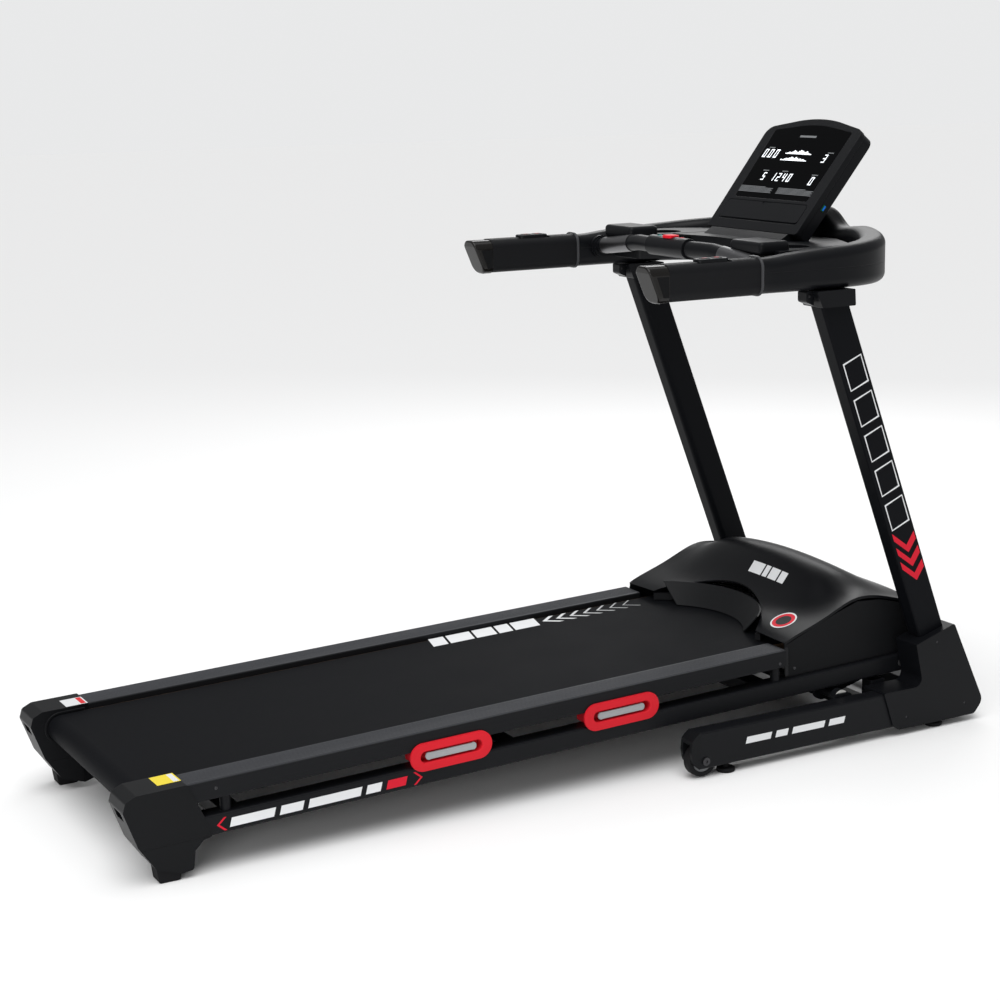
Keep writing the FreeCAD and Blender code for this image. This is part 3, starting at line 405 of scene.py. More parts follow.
# Painted highlight: the base colour is raised on the rail's top face and lowered on its sides, by height
# along the deck.
rail_height = rail_nodes.new("ShaderNodeVectorMath")
rail_height.operation = "DOT_PRODUCT"
rail_height.inputs[1].default_value = deck_up
rail_links.new(rail_place.outputs["Object"], rail_height.inputs[0])
rail_painted_highlight = rail_nodes.new("ShaderNodeMapRange")
painted_top_low, painted_top_high = 0.1963, 0.1979
rail_painted_highlight.inputs["From Min"].default_value = painted_top_low
rail_painted_highlight.inputs["From Max"].default_value = painted_top_high
rail_painted_highlight.inputs["To Min"].default_value = 0.3
rail_painted_highlight.inputs["To Max"].default_value = 1.25
rail_links.new(rail_height.outputs["Value"], rail_painted_highlight.inputs["Value"])
rail_tone_and_painted_highlight = rail_nodes.new("ShaderNodeVectorMath")
rail_tone_and_painted_highlight.operation = "SCALE"
rail_links.new(rail_tone.outputs["Color"], rail_tone_and_painted_highlight.inputs[0])
rail_links.new(rail_painted_highlight.outputs["Result"], rail_tone_and_painted_highlight.inputs["Scale"])
rail_links.new(rail_tone_and_painted_highlight.outputs["Vector"], rail_shader.inputs["Base Color"])
rail_gloss = rail_nodes.new("ShaderNodeMapRange")
rail_gloss.inputs["To Min"].default_value = 0.42
rail_gloss.inputs["To Max"].default_value = 0.56
rail_links.new(rail_lines.outputs["Fac"], rail_gloss.inputs["Value"])
rail_links.new(rail_gloss.outputs["Result"], rail_shader.inputs["Roughness"])
rail_bump = rail_nodes.new("ShaderNodeBump")
rail_bump.inputs["Strength"].default_value = 0.25
rail_bump.inputs["Distance"].default_value = 0.0001
rail_links.new(rail_lines.outputs["Fac"], rail_bump.inputs["Height"])
rail_links.new(rail_bump.outputs["Normal"], rail_shader.inputs["Normal"])
dress(rail_grey, "side_rail_right", "side_rail_left")

# ---- cushions -------------------------------------------------------------------------------
# Red elastomer blocks between tube and rail soften the deck. Outside each one ends in a
# stadium-shaped frame, with a grey bone-shaped damper insert in its window.
cushion_red = powder_coat("cushion_red", (0.56, 0.012, 0.022), 0.4, 0.0014, 0.00012)
insert_grey = powder_coat("insert_grey", (0.3, 0.31, 0.32), 0.45, 0.0014, 0.0001)
cushion_z = 0.1495
frame_steps, bone_steps = 40, 48
bone_foot_y, bone_height = 0.3165, 0.003
for side in (-1, 1):
    for x, place in ((-0.304, "rear"), (0.076, "front")):
        label = place + "_" + side_names[side]
        ring = bmesh.new()
        loops = []
        for half_length, half_height, y in ((0.0867, 0.0277, 0.3171), (0.0867, 0.0277, 0.3214),
                                            (0.0852, 0.0262, 0.3222), (0.0672, 0.0127, 0.3222),
                                            (0.0657, 0.0112, 0.3208), (0.0657, 0.0112, 0.3171)):
            loop = []
            for step in range(frame_steps):
                angle = math.tau * (step + 0.5) / frame_steps
                reach = math.copysign(half_length - half_height, math.cos(angle))
                loop.append(ring.verts.new(on_deck(x + reach + half_height * math.cos(angle), side * y,
                                                   cushion_z + half_height * math.sin(angle))))
            loops.append([ring.edges.new((loop[i], loop[(i + 1) % frame_steps])) for i in range(frame_steps)])
        for first, second in zip(loops, loops[1:] + loops[:1]):
            bmesh.ops.bridge_loops(ring, edges=first + second)
        bmesh.ops.recalc_face_normals(ring, faces=ring.faces)
        place_piece("cushion_frame_" + label, ring, "deck", cushion_red)

        bone = bmesh.new()
        outline = []
        for step in range(bone_steps):
            angle = math.tau * (step + 0.5) / bone_steps
            reach = math.copysign(0.043, math.cos(angle))
            waist = 0.0062 + 0.0036 * abs(math.cos(angle)) ** 0.6
            outline.append(bone.verts.new(on_deck(x + reach + 0.011 * math.cos(angle), side * bone_foot_y,
                                                  cushion_z + waist * math.sin(angle))))
        sole = bone.faces.new(outline)
        raised = bmesh.ops.extrude_face_region(bone, geom=[sole])["geom"]
        bmesh.ops.translate(bone, verts=[v for v in raised if isinstance(v, bmesh.types.BMVert)],
                            vec=(0, side * bone_height, 0))
        bmesh.ops.recalc_face_normals(bone, faces=bone.faces)
        bone_top = bone_foot_y + bone_height
        rims = [e for e in bone.edges if all(abs(abs(v.co.y) - bone_top) < 1e-5 for v in e.verts)]
        bmesh.ops.bevel(bone, geom=rims, offset=0.0008, segments=2, profile=0.5, affect="EDGES", material=-1)
        place_piece("cushion_insert_" + label, bone, "deck", insert_grey)
dress(cushion_red, "cushions")

# ---- running board, rollers and belt --------------------------------------------------------
# A waxed wooden board under an endless belt: black rubber with a fine pebbled
# face. White slanted print and a row of fading arrowheads lie on the left of the belt.
belt_black = bpy.data.materials.new("belt_black")
belt_black.use_nodes = True
belt_nodes, belt_links = belt_black.node_tree.nodes, belt_black.node_tree.links
belt_shader = belt_nodes["Principled BSDF"]
belt_shader.inputs["Specular IOR Level"].default_value = 0.05
belt_place = belt_nodes.new("ShaderNodeTexCoord")
pebble = belt_nodes.new("ShaderNodeTexVoronoi")
pebble.inputs["Scale"].default_value = 620
belt_links.new(belt_place.outputs["Object"], pebble.inputs["Vector"])
pebble_bump = belt_nodes.new("ShaderNodeBump")
pebble_bump.inputs["Strength"].default_value = 0.5
pebble_bump.inputs["Distance"].default_value = 0.0003
belt_links.new(pebble.outputs["Distance"], pebble_bump.inputs["Height"])
belt_links.new(pebble_bump.outputs["Normal"], belt_shader.inputs["Normal"])
belt_drift = belt_nodes.new("ShaderNodeTexNoise")
belt_drift.inputs["Scale"].default_value = 7
belt_drift.inputs["Detail"].default_value = 5
belt_links.new(belt_place.outputs["Object"], belt_drift.inputs["Vector"])
belt_tone = belt_nodes.new("ShaderNodeValToRGB")
belt_tone.color_ramp.elements[0].color = (0.0034, 0.0037, 0.0046, 1)
belt_tone.color_ramp.elements[1].color = (0.0056, 0.006, 0.0074, 1)
belt_links.new(belt_drift.outputs["Fac"], belt_tone.inputs["Fac"])
belt_links.new(belt_tone.outputs["Color"], belt_shader.inputs["Base Color"])
belt_gloss = belt_nodes.new("ShaderNodeMapRange")
belt_gloss.inputs["To Min"].default_value = 0.56
belt_gloss.inputs["To Max"].default_value = 0.68
belt_links.new(belt_drift.outputs["Fac"], belt_gloss.inputs["Value"])
belt_links.new(belt_gloss.outputs["Result"], belt_shader.inputs["Roughness"])
dress(belt_black, "walking_belt")

belt_face_z = 0.18825
belt_origin = on_deck(0, 0, belt_face_z)
belt_blocks = [slanted(start, length, 0.056, 0.014, low=0.19) for start, length in
               ((-0.082, 0.036), (-0.04, 0.058), (0.024, 0.05), (0.08, 0.034), (0.12, 0.062))]
leftwards = Vector((0, 1, 0))
print_film("belt_print", belt_blocks, belt_origin, deck_along, leftwards, "deck", ink_white)
for step in range(7):
    back = 0.2 + step * 0.035
    wings = back + 0.03
    width = 0.012 - step * 0.0013
    arrow = [[(back, 0.2125), (wings, 0.238), (wings + width, 0.238), (back + width, 0.2125)],
             [(back, 0.2125), (back + width, 0.2125), (wings + width, 0.187), (wings, 0.187)]]
    tip_ink = ink("arrow_ink_%d" % step, [c * (1 - step * 0.07) for c in (0.7, 0.71, 0.72)])
    print_film("belt_arrow_%d" % step, arrow, belt_origin, deck_along, leftwards, "deck", tip_ink)

board_wood = powder_coat("board_wood", (0.1, 0.065, 0.04), 0.5, 0.003, 0.0002)
roller_steel = powder_coat("roller_steel", (0.45, 0.45, 0.46), 0.35, 0.002, 0.00005)
tune(roller_steel, "Metallic", 0.9)
pulley_cast = powder_coat("pulley_cast", (0.3, 0.3, 0.31), 0.45, 0.0015, 0.0001)
tune(pulley_cast, "Metallic", 0.8)
dress(board_wood, "deck_board")
dress(roller_steel, "front_roller", "rear_roller", "fold_shaft", "lift_rod")
dress(pulley_cast, "motor_pulley")
dress(foot_rubber, "drive_belt")
soften("rear_feet", "deck", foot_rubber, 0.003, sharp=20, segments=3)

# A nylon bush turns on each hinge pin of the lift frame, inside its lug.
nylon = powder_coat("nylon", (0.5, 0.5, 0.48), 0.45, 0.0015, 0.0001)
for side, label in side_names.items():
    bush = bmesh.new()
    square_ring(bush, Vector((0.605, side * 0.336, 0.092)), 0.0175, 0.0083, 0.007)
    place_piece("lift_bush_" + label, bush, "lift", nylon)

# ---- rear caps ------------------------------------------------------------------------------
# Moulded end caps close rail and tube. Each has a slot for tensioning the belt, a joint
# line between upper and lower half, and a plain coloured sticker on its top.
def parting_line(coat, up, height, half_width, depth):
    """Presses a fine groove into a finish, along the plane at this height in the direction up."""
    nodes, links = coat.node_tree.nodes, coat.node_tree.links
    level = nodes.new("ShaderNodeVectorMath")
    level.operation = "DOT_PRODUCT"
    level.inputs[1].default_value = up
    links.new(nodes["Texture Coordinate"].outputs["Object"], level.inputs[0])
    above = nodes.new("ShaderNodeMath")
    above.operation = "SUBTRACT"
    above.inputs[1].default_value = height
    links.new(level.outputs["Value"], above.inputs[0])
    distance = nodes.new("ShaderNodeMath")
    distance.operation = "ABSOLUTE"
    links.new(above.outputs["Value"], distance.inputs[0])
    groove = nodes.new("ShaderNodeMapRange")
    groove.inputs["From Max"].default_value = half_width
    groove.inputs["To Min"].default_value = -1
    groove.inputs["To Max"].default_value = 0
    links.new(distance.outputs["Value"], groove.inputs["Value"])
    pressed = nodes.new("ShaderNodeBump")
    pressed.inputs["Distance"].default_value = depth
    links.new(groove.outputs["Result"], pressed.inputs["Height"])
    links.new(nodes["Bump"].outputs["Normal"], pressed.inputs["Normal"])
    links.new(pressed.outputs["Normal"], nodes["Principled BSDF"].inputs["Normal"])


cap_black = powder_coat("cap_black", (0.005, 0.0053, 0.0061), 0.4, 0.0009, 0.00012)
parting_line(cap_black, deck_up, 0.0965, 0.0007, 0.0012)
rim_x, rim_z, rim_front = -0.885, 0.161, 0.05
axle = on_deck(rim_x, 0, rim_z)
rim_profile = ((0.0286, 0.2414), (0.0286, 0.2392), (0.0293, 0.2386), (0.0322, 0.2386), (0.0329, 0.2392),
               (0.0329, 0.2414))
for side, label in side_names.items():
    soften("rear_cap_" + label, "deck", cap_black, 0.0036, sharp=14, segments=3)

    # The inner wall of the cap hugs the turn of the belt with a raised rim.
    rim = bmesh.new()
    section = [rim.verts.new(on_deck(rim_x + rim_front, side * y, rim_z + r)) for r, y in rim_profile]
    edges = [rim.edges.new((section[i], section[(i + 1) % len(section)])) for i in range(len(section))]
    rim.faces.new(section)
    run = bmesh.ops.extrude_edge_only(rim, edges=edges)["geom"]
    bmesh.ops.translate(rim, verts=[v for v in run if isinstance(v, bmesh.types.BMVert)],
                        vec=-deck_along * rim_front)
    turning = [g for g in run if not isinstance(g, bmesh.types.BMFace)]
    bmesh.ops.spin(rim, geom=turning, cent=axle, axis=(0, 1, 0), angle=math.radians(-165), steps=28)
    bmesh.ops.holes_fill(rim, edges=[e for e in rim.edges if len(e.link_faces) == 1], sides=len(rim_profile))
    bmesh.ops.recalc_face_normals(rim, faces=rim.faces)
    place_piece("cap_rim_" + label, rim, "deck", cap_black)

sticker_yellow = ink("sticker_yellow", (0.75, 0.6, 0.05))
sticker_white = ink("sticker_white", (0.66, 0.67, 0.68))
sticker_red = ink("sticker_red", (0.6, 0.03, 0.035))
sticker = [(-0.022, -0.0235), (0.022, -0.0235), (0.022, 0.0235), (-0.022, 0.0235)]
band = [(0.009, -0.021), (0.019, -0.021), (0.019, 0.021), (0.009, 0.021)]
for side, label in side_names.items():
    middle = on_deck(-0.848, side * 0.268, 0.19985)
    ground, accent = (sticker_yellow, sticker_white) if side < 0 else (sticker_white, sticker_red)
    print_film("cap_sticker_" + label, [sticker], middle, deck_along, leftwards, "deck", ground)
    print_film("cap_sticker_band_" + label, [band], middle + deck_up * 0.00016, deck_along,
                       leftwards, "deck", accent)

# ---- motor bay ------------------------------------------------------------------------------
# Under the hood: the drive motor in its cradle, the controller with its cooling fins, the
# lift motor below, a steel belly pan, and the mains inlet with its switch at the front.
motor_paint = powder_coat("motor_paint", (0.0126, 0.013, 0.0139), 0.35, 0.002, 0.0001)
tune(motor_paint, "Metallic", 0.5)
fin_metal = powder_coat("fin_metal", (0.35, 0.35, 0.36), 0.45, 0.002, 0.0001)
tune(fin_metal, "Metallic", 0.8)
dress(motor_paint, "drive_motor", "lift_motor")
dress(fin_metal, "motor_controller")
dress(frame_paint, "belly_pan")
dress(moulded_black, "power_inlet")
rocker_red = powder_coat("rocker_red", (0.5, 0.01, 0.015), 0.35, 0.001, 0.00005)
soften("power_rocker", "power_switch", rocker_red, 0.0005)

# ---- motor hood -----------------------------------------------------------------------------
# One large moulding, semi-gloss with a fine grain, over the motor. Its mouth is closed
# towards the belt by a matte apron, and matte textured panels close its sides.
hood_black = powder_coat("hood_black", (0.0036, 0.0039, 0.005), 0.32, 0.0011, 0.00008)
apron_black = powder_coat("apron_black", (0.0084, 0.0088, 0.0097), 0.5, 0.0009, 0.00015)
panel_black = powder_coat("panel_black", (0.005, 0.0053, 0.0061), 0.55, 0.0014, 0.0003)
dress(hood_black, "hood_top")
dress(apron_black, "hood_apron")
dress(panel_black, "hood_sides")

# The apron's foot runs on round the mouth of the hood on both sides.
mouth_x = 0.342
foot_profile = ((0.2465, 0.1905), (0.258, 0.1905), (0.258, 0.2055), (0.2465, 0.2055))
for side, label in side_names.items():
    foot = bmesh.new()
    rows = []
    for degree in range(44, 55):
        angle = math.radians(degree)
        rows.append([foot.verts.new(on_deck(mouth_x + r * math.cos(angle), side * r * math.sin(angle), z))
                     for r, z in foot_profile])
    for here, there in zip(rows, rows[1:]):
        for i in range(4):
            foot.faces.new((here[i], here[(i + 1) % 4], there[(i + 1) % 4], there[i]))
    foot.faces.new(rows[0])
    foot.faces.new(rows[-1])
    bmesh.ops.recalc_face_normals(foot, faces=foot.faces)
    place_piece("apron_foot_" + label, foot, "deck", apron_black)

above_hood, film_thick = 0.4, 0.00015
hood_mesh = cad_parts["hood_top"].data
hood_tree = BVHTree.FromPolygons([v.co.copy() for v in hood_mesh.vertices],
                                 [list(p.vertices) for p in hood_mesh.polygons])


def lay_on_hood(name, patches, middle, finish, cuts=4):
    """Thin film pieces, drawn in plan round a point of the deck and dropped onto the hood."""
    film = bmesh.new()
    for patch in patches:
        film.faces.new([film.verts.new(on_deck(middle[0] + a, middle[1] + b, above_hood)) for a, b in patch])
    bmesh.ops.subdivide_edges(film, edges=list(film.edges), cuts=cuts, use_grid_fill=True)
    bmesh.ops.recalc_face_normals(film, faces=film.faces)
    for face in film.faces:
        if face.normal.z < 0:
            face.normal_flip()
    for v in film.verts:
        hit = hood_tree.ray_cast(v.co, -deck_up)[0]
        if hit:
            v.co = hit + deck_up * film_thick
    top = list(film.faces)
    raised = bmesh.ops.extrude_face_region(film, geom=top)["geom"]
    bmesh.ops.translate(film, verts=[v for v in raised if isinstance(v, bmesh.types.BMVert)],
                        vec=deck_up * film_thick)
    bmesh.ops.recalc_face_normals(film, faces=film.faces)
    return place_piece(name, film, "deck", finish)


mark = []
for start, length in ((-0.066, 0.022), (-0.039, 0.03), (-0.004, 0.016), (0.017, 0.045)):
    end = start + length
    mark.append([(0, start), (0, end), (0.022, end + 0.006), (0.022, start + 0.006)])
lay_on_hood("hood_mark", mark, (0.617, -0.055), ink_white)


def ring_patches(inner, outer, count=32):
    """A flat ring as patches."""
    ring = []
    for i in range(count):
        first, second = math.tau * i / count, math.tau * (i + 1) / count
        ring.append([(reach * math.cos(angle), reach * math.sin(angle)) for reach, angle in
                     ((outer, first), (outer, second), (inner, second), (inner, first))])
    return ring


badge_black = ink("badge_black", (0.012, 0.012, 0.013))
badge_middle = (0.542, -0.227)
for name, inner, outer, finish in (("badge_rim", 0.025, 0.0285, ink_white),
                                   ("badge_band", 0.017, 0.0248, ink_red),
                                   ("badge_centre", 0.0002, 0.0168, badge_black)):
    lay_on_hood(name, ring_patches(inner, outer), badge_middle, finish, cuts=1)

# A satin strip closes each rear corner of the hood, and cross-head screws hold hood and
# rails to the deck.
strip_y = 0.3042
strip_black = powder_coat("strip_black", (0.0126, 0.013, 0.0143), 0.35, 0.0009, 0.00005)
for side, label in side_names.items():
    strip = bmesh.new()
    bar = bmesh.ops.create_cube(strip, size=1)["verts"]
    bmesh.ops.scale(strip, verts=bar, vec=(0.0085, 0.003, 0.062))
    bmesh.ops.bevel(strip, geom=list(strip.edges), offset=0.0012, segments=3, profile=0.5, affect="EDGES",
                    material=-1)
    bmesh.ops.rotate(strip, verts=strip.verts, cent=(0, 0, 0), matrix=Matrix.Rotation(-deck_slope, 3, "Y"))
    bmesh.ops.translate(strip, verts=strip.verts, vec=on_deck(0.4915, side * strip_y, 0.168))
    place_piece("hood_strip_" + label, strip, "deck", strip_black)

    screws = bmesh.new()
    for x, y, z in ((0.5125, strip_y, 0.1495), (0.466, 0.3171, 0.171), (-0.772, 0.3171, 0.181)):
        seat = Matrix.Translation(on_deck(x, side * y, z)) @ Matrix.Rotation(math.radians(-90 * side), 4, "X")
        bmesh.ops.create_cone(screws, cap_ends=True, segments=24, radius1=0.0036, radius2=0.0028,
                              depth=0.0014, matrix=seat)
        for degree in (20, 110):
            cross = bmesh.ops.create_cube(screws, size=1)["verts"]
            bmesh.ops.scale(screws, verts=cross, vec=(0.004, 0.0004, 0.0009))
            bmesh.ops.rotate(screws, verts=cross, cent=(0, 0, 0),
                             matrix=Matrix.Rotation(math.radians(degree), 3, "Y"))
            bmesh.ops.translate(screws, verts=cross, vec=on_deck(x, side * (y + 0.0006), z))
    place_piece("hood_screws_" + label, screws, "deck", screw_black)

# ---- handlebar ------------------------------------------------------------------------------
# A moulded U with a fine parting line. A raised lip marks where each foam-covered grip
# begins.
bar_black = powder_coat("bar_black", (0.0046, 0.005, 0.0061), 0.38, 0.0008, 0.0001)
parting_line(bar_black, Vector((0, 0, 1)), 1.006, 0.0006, 0.0008)
dress(bar_black, "handlebar_right", "handlebar_left")

lip_grey = powder_coat("lip_grey", (0.05, 0.051, 0.054), 0.3, 0.0008, 0.00005)
arm_y = 0.352


def rounded_loop(shape, x, middle, half_width, low, high, corner):
    """A rounded rectangle of edges standing across the arm at x."""
    points = []
    for a, b, start in ((half_width, high, 0), (-half_width, high, 90), (-half_width, low, 180),
                        (half_width, low, 270)):
        for step in range(7):
            angle = math.radians(start + step * 15)
            points.append((x, middle + math.copysign(abs(a) - corner, a) + corner * math.cos(angle),
                           b - math.copysign(corner, b - (low + high) / 2) + corner * math.sin(angle)))
    verts = [shape.verts.new(p) for p in points]
    return [shape.edges.new((verts[i], verts[(i + 1) % len(verts)])) for i in range(len(verts))]


def band_on_arm(name, middle, sections, body, finish):
    """A closed band made by bridging rounded rectangles (x, half width, low, high, corner) in a ring."""
    band = bmesh.new()
    loops = [rounded_loop(band, x, middle, half, low, high, corner)
             for x, half, low, high, corner in sections]
    for first, second in zip(loops, loops[1:] + loops[:1]):
        bmesh.ops.bridge_loops(band, edges=first + second)
    bmesh.ops.recalc_face_normals(band, faces=band.faces)
    return place_piece(name, band, body, finish)


for side, label in side_names.items():
    lip = band_on_arm("bar_lip_" + label, side * arm_y,
                      [(0.362, 0.0272, 0.9638, 1.0366, 0.0192), (0.3626, 0.0296, 0.9614, 1.039, 0.0216),
                       (0.364, 0.0304, 0.9606, 1.0398, 0.0224), (0.3662, 0.0304, 0.9606, 1.0398, 0.0224),
                       (0.369, 0.0272, 0.9638, 1.0366, 0.0192)], "base", lip_grey)

# ---- grips and their smoked end caps --------------------------------------------------------
# Dense foam sleeves with a fine closed skin. The slanted end caps are glossy smoked
# plastic with a matte inlay on either side.
foam = powder_coat("grip_foam", (0.0059, 0.0061, 0.0071), 0.52, 0.0007, 0.00025)
foam.node_tree.nodes["Bump"].inputs["Strength"].default_value = 0.6
dress(foam, "grips")

smoked = powder_coat("smoked_plastic", (0.0071, 0.0065, 0.0059), 0.2, 0.0012, 0.00002)
tune(smoked, "Coat Weight", 0.25)
tune(smoked, "Coat Roughness", 0.06)
caps = bmesh.new()
caps.from_mesh(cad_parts["grip_caps"].data)
bmesh.ops.remove_doubles(caps, verts=caps.verts, dist=2e-5)
bmesh.ops.dissolve_limit(caps, angle_limit=math.radians(1.2), verts=caps.verts, edges=caps.edges)
noses = [e for e in caps.edges if len(e.link_faces) == 2 and e.calc_face_angle() > math.radians(28)
         and all(v.co.x < 0.146 for v in e.verts)]
bmesh.ops.bevel(caps, geom=noses, offset=0.0055, segments=5, profile=0.5, affect="EDGES", material=-1,
                clamp_overlap=True)
place_piece("smoked_caps", caps, "base", smoked, "grip_caps")
inlay_black = powder_coat("inlay_black", (0.0038, 0.004, 0.0046), 0.5, 0.0008, 0.0001)
for side in (-1, 1):
    for face_side in (-1, 1):
        y = side * arm_y + face_side * 0.02705
        across = Vector((-face_side, 0, 0))
        outline = [(0.1215, 1.014), (0.1485, 1.014), (0.1485, 0.974), (0.1365, 0.974)]
        if face_side > 0:
            patch = [(-x, z) for x, z in outline]
        else:
            patch = [(x, z) for x, z in reversed(outline)]
        name = "cap_inlay_%s_%s" % (side_names[side], "outer" if side == face_side else "inner")
        print_film(name, [patch], Vector((0, y, 0)), across, Vector((0, 0, 1)), "base", inlay_black,
                           0.0003)

# ---- keypads on the grips -------------------------------------------------------------------
# Each grip carries a low pod with two sprung keys, printed red: speed on the right hand,
# incline on the left.
soften("grip_keypads", "base", boot_black, 0.0008)
key_black = powder_coat("key_black", (0.0063, 0.0063, 0.0067), 0.4, 0.0008, 0.00008)
key_icons = {"down": [[(-0.006, -0.0012), (0.006, -0.0012), (0.006, 0.0012), (-0.006, 0.0012)]],
             "up": [[(-0.006, -0.0012), (0.006, -0.0012), (0.006, 0.0012), (-0.006, 0.0012)],
                    [(-0.0012, 0.0013), (0.0012, 0.0013), (0.0012, 0.006), (-0.0012, 0.006)],
                    [(-0.0012, -0.006), (0.0012, -0.006), (0.0012, -0.0013), (-0.0012, -0.0013)]]}
for use, side in (("speed", -1), ("incline", 1)):
    for way, x in (("down", 0.247), ("up", 0.275)):
        key_name = use + "_" + way
        soften(key_name + "_key", key_name, key_black, 0.0008)
        print_film(key_name + "_icon", key_icons[way], Vector((x, side * arm_y, 1.042)),
                           Vector((1, 0, 0)), Vector((0, 1, 0)), key_name, ink_red, 0.0001)

# ---- pulse bar, its hub and the stop key ----------------------------------------------------
# A bent plastic-covered bar joins the arms. Steel contact plates read the pulse, and the
# red magnetic key sits in a socket on the hub: pulled off, it stops the belt.
soften("pulse_bar", "base", bar_black, 0.001)
soften("pulse_hub", "base", boot_black, 0.001)
brushed_steel = powder_coat("brushed_steel", (0.13, 0.13, 0.135), 0.36, 0.0016, 0.00004)
tune(brushed_steel, "Metallic", 1)
dress(brushed_steel, "pulse_sensors")
key_red = powder_coat("key_red", (0.62, 0.008, 0.02), 0.32, 0.001, 0.00008)
soften("safety_key", "safety_key", key_red, 0.0006)
icon_teal = ink("icon_teal", (0.05, 0.42, 0.4))
for label, half_length, half_height, y, finish in (("left", 0.006, 0.005, 0.04, icon_teal),
                                                   ("right", 0.007, 0.0035, -0.042, ink_red)):
    icon = [(-half_length, -half_height), (half_length, -half_height), (half_length, half_height),
            (-half_length, half_height)]
    print_film("hub_icon_" + label, [icon], Vector((0.4, y, 1.0516)), Vector((0, -1, 0)),
                       Vector((1, 0, 0)), "base", finish)

# ---- console: tray, shell and bezel ---------------------------------------------------------
# A moulded tray with two bottle wells fills the U and carries the tilted display housing,
# whose shell and bezel meet along a fine joint. Rounded edges, satin black.
soften("console_base", "base", bar_black, 0.003, segments=3)
soften("console_shell", "base", boot_black, 0.0015)
soften("console_bezel", "base", boot_black, 0.0012)
soften("tablet_flap", "tablet_flap", boot_black, 0.0005)

# Raised shoulders of the tray, between the bottle wells and the user.
shoulders = bmesh.new()
for side in (-1, 1):
    block = bmesh.ops.create_cube(shoulders, size=1)["verts"]
    bmesh.ops.scale(shoulders, verts=block, vec=(0.074, 0.112, 0.028))
    bmesh.ops.translate(shoulders, verts=block, vec=(0.4545, side * 0.2435, 1.0445))
bmesh.ops.bevel(shoulders, geom=list(shoulders.edges), offset=0.0095, segments=6, profile=0.5,
                affect="EDGES", material=-1)
place_piece("tray_shoulders", shoulders, "base", bar_black)

console_tilt = math.radians(39.2)
console_foot = Vector((0.656, 0, 1.12))
console_up = Vector((math.sin(console_tilt), 0, math.cos(console_tilt)))
console_back = Vector((math.cos(console_tilt), 0, -math.sin(console_tilt)))

usb_blue = powder_coat("usb_blue", (0.01, 0.12, 0.6), 0.35, 0.001, 0.00005)
usb = bmesh.new()
tongue = bmesh.ops.create_cube(usb, size=1)["verts"]
bmesh.ops.scale(usb, verts=tongue, vec=(0.0024, 0.009, 0.0115))
bmesh.ops.bevel(usb, geom=list(usb.edges), offset=0.0003, segments=2, profile=0.5, affect="EDGES",
                material=-1)
bmesh.ops.rotate(usb, verts=usb.verts, cent=(0, 0, 0), matrix=Matrix.Rotation(console_tilt, 3, "Y"))
bmesh.ops.translate(usb, verts=usb.verts, vec=console_foot + console_back * 0.0235 + console_up * 0.001
                    + Vector((0, -0.1635, 0)))
place_piece("usb_tongue", usb, "base", usb_blue)

# ---- display --------------------------------------------------------------------------------
# Black glass over an LED panel. The lit figures are white: five readings, two bar profiles
# and fine rules below. Behind it sits the green circuit board.
glass = powder_coat("screen_glass", (0.0017, 0.0018, 0.0021), 0.07, 0.01, 0.000004)
tune(glass, "Specular IOR Level", 0.02)
dress(glass, "screen")
board_green = powder_coat("board_green", (0.01, 0.09, 0.03), 0.4, 0.004, 0.0001)
dress(board_green, "circuit_board")

lit = ink("lit_figures", (0.8, 0.82, 0.84))
tune(lit, "Emission Color", (0.9, 0.95, 1, 1))
tune(lit, "Emission Strength", 0.8)
dim = ink("dim_figures", (0.14, 0.145, 0.15))
tune(dim, "Emission Color", (0.9, 0.95, 1, 1))
tune(dim, "Emission Strength", 0.05)

segment_rows = {"0": "abcdef", "1": "bc", "2": "abdeg", "3": "abcdg", "4": "bcfg", "5": "acdfg"}


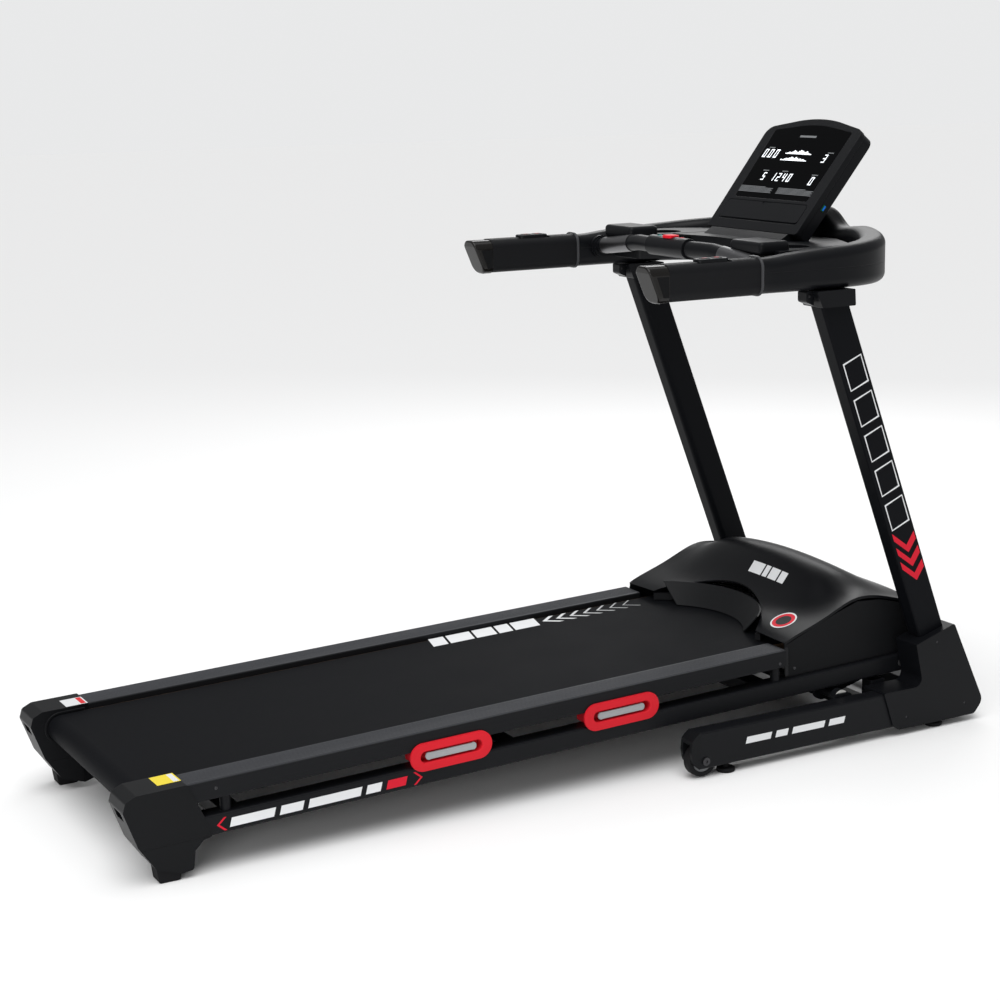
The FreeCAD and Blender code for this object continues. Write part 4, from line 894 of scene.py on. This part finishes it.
def figure(digit, left, low, height):
    """Seven-segment figure as patches."""
    wide, bar, lean = height * 0.5, height * 0.12, 0.08
    half = height / 2
    edges = {"a": (0, height - bar, wide, height), "g": (0, half - bar / 2, wide, half + bar / 2),
             "d": (0, 0, wide, bar), "f": (0, half, bar, height), "b": (wide - bar, half, wide, height),
             "e": (0, 0, bar, half), "c": (wide - bar, 0, wide, half)}
    patches = []
    for name in segment_rows[digit]:
        a0, b0, a1, b1 = edges[name]
        patches.append([(left + a0 + b0 * lean, low + b0), (left + a1 + b0 * lean, low + b0),
                        (left + a1 + b1 * lean, low + b1), (left + a0 + b1 * lean, low + b1)])
    return patches


def block_patch(left, low, right, high):
    """An upright rectangle as a patch."""
    return [(left, low), (right, low), (right, high), (left, high)]


figures = []
for text, left, low, height in (("000", -0.126, 0.106, 0.022), ("3", 0.093, 0.1, 0.021),
                                ("5", -0.079, 0.046, 0.02), ("1240", -0.044, 0.0455, 0.021),
                                ("0", 0.096, 0.041, 0.021)):
    for place, digit in enumerate(text):
        figures += figure(digit, left + place * height * 0.92, low, height)
figures.append(block_patch(-0.1075, 0.106, -0.105, 0.1085))
for first, low, heights in ((-0.048, 0.118, (2, 3, 5, 4, 6, 9, 7, 5, 8, 10, 9, 7, 6, 8, 5, 3, 2)),
                            (-0.052, 0.1005, (3, 2, 4, 6, 5, 7, 9, 8, 6, 9, 7, 5, 6, 4, 5, 3, 2))):
    for place, height in enumerate(heights):
        left = first + place * 0.0055
        figures.append(block_patch(left, low, left + 0.0047, low + height * 0.0011))
screen_foot = console_foot + console_back * 0.0006
rightwards = Vector((0, -1, 0))
print_film("screen_figures", figures, screen_foot, rightwards, console_up, "base", lit, 0.00006)
rules = [block_patch(-0.034, 0.163, 0.024, 0.168)]
for left, low in ((-0.118, 0.1315), (0.098, 0.1245), (-0.088, 0.0705), (-0.018, 0.071), (0.092, 0.066)):
    rules.append(block_patch(left, low, left + 0.021, low + 0.0022))
for left, right in ((-0.136, -0.012), (0.006, 0.132)):
    for row in range(6):
        low = 0.0135 + row * 0.0028
        short_by = 0.03 if row == 5 else 0.004 * (row % 2)
        rules.append(block_patch(left, low, right - short_by, low + 0.0014))
print_film("screen_rules", rules, screen_foot, rightwards, console_up, "base", dim, 0.00006)
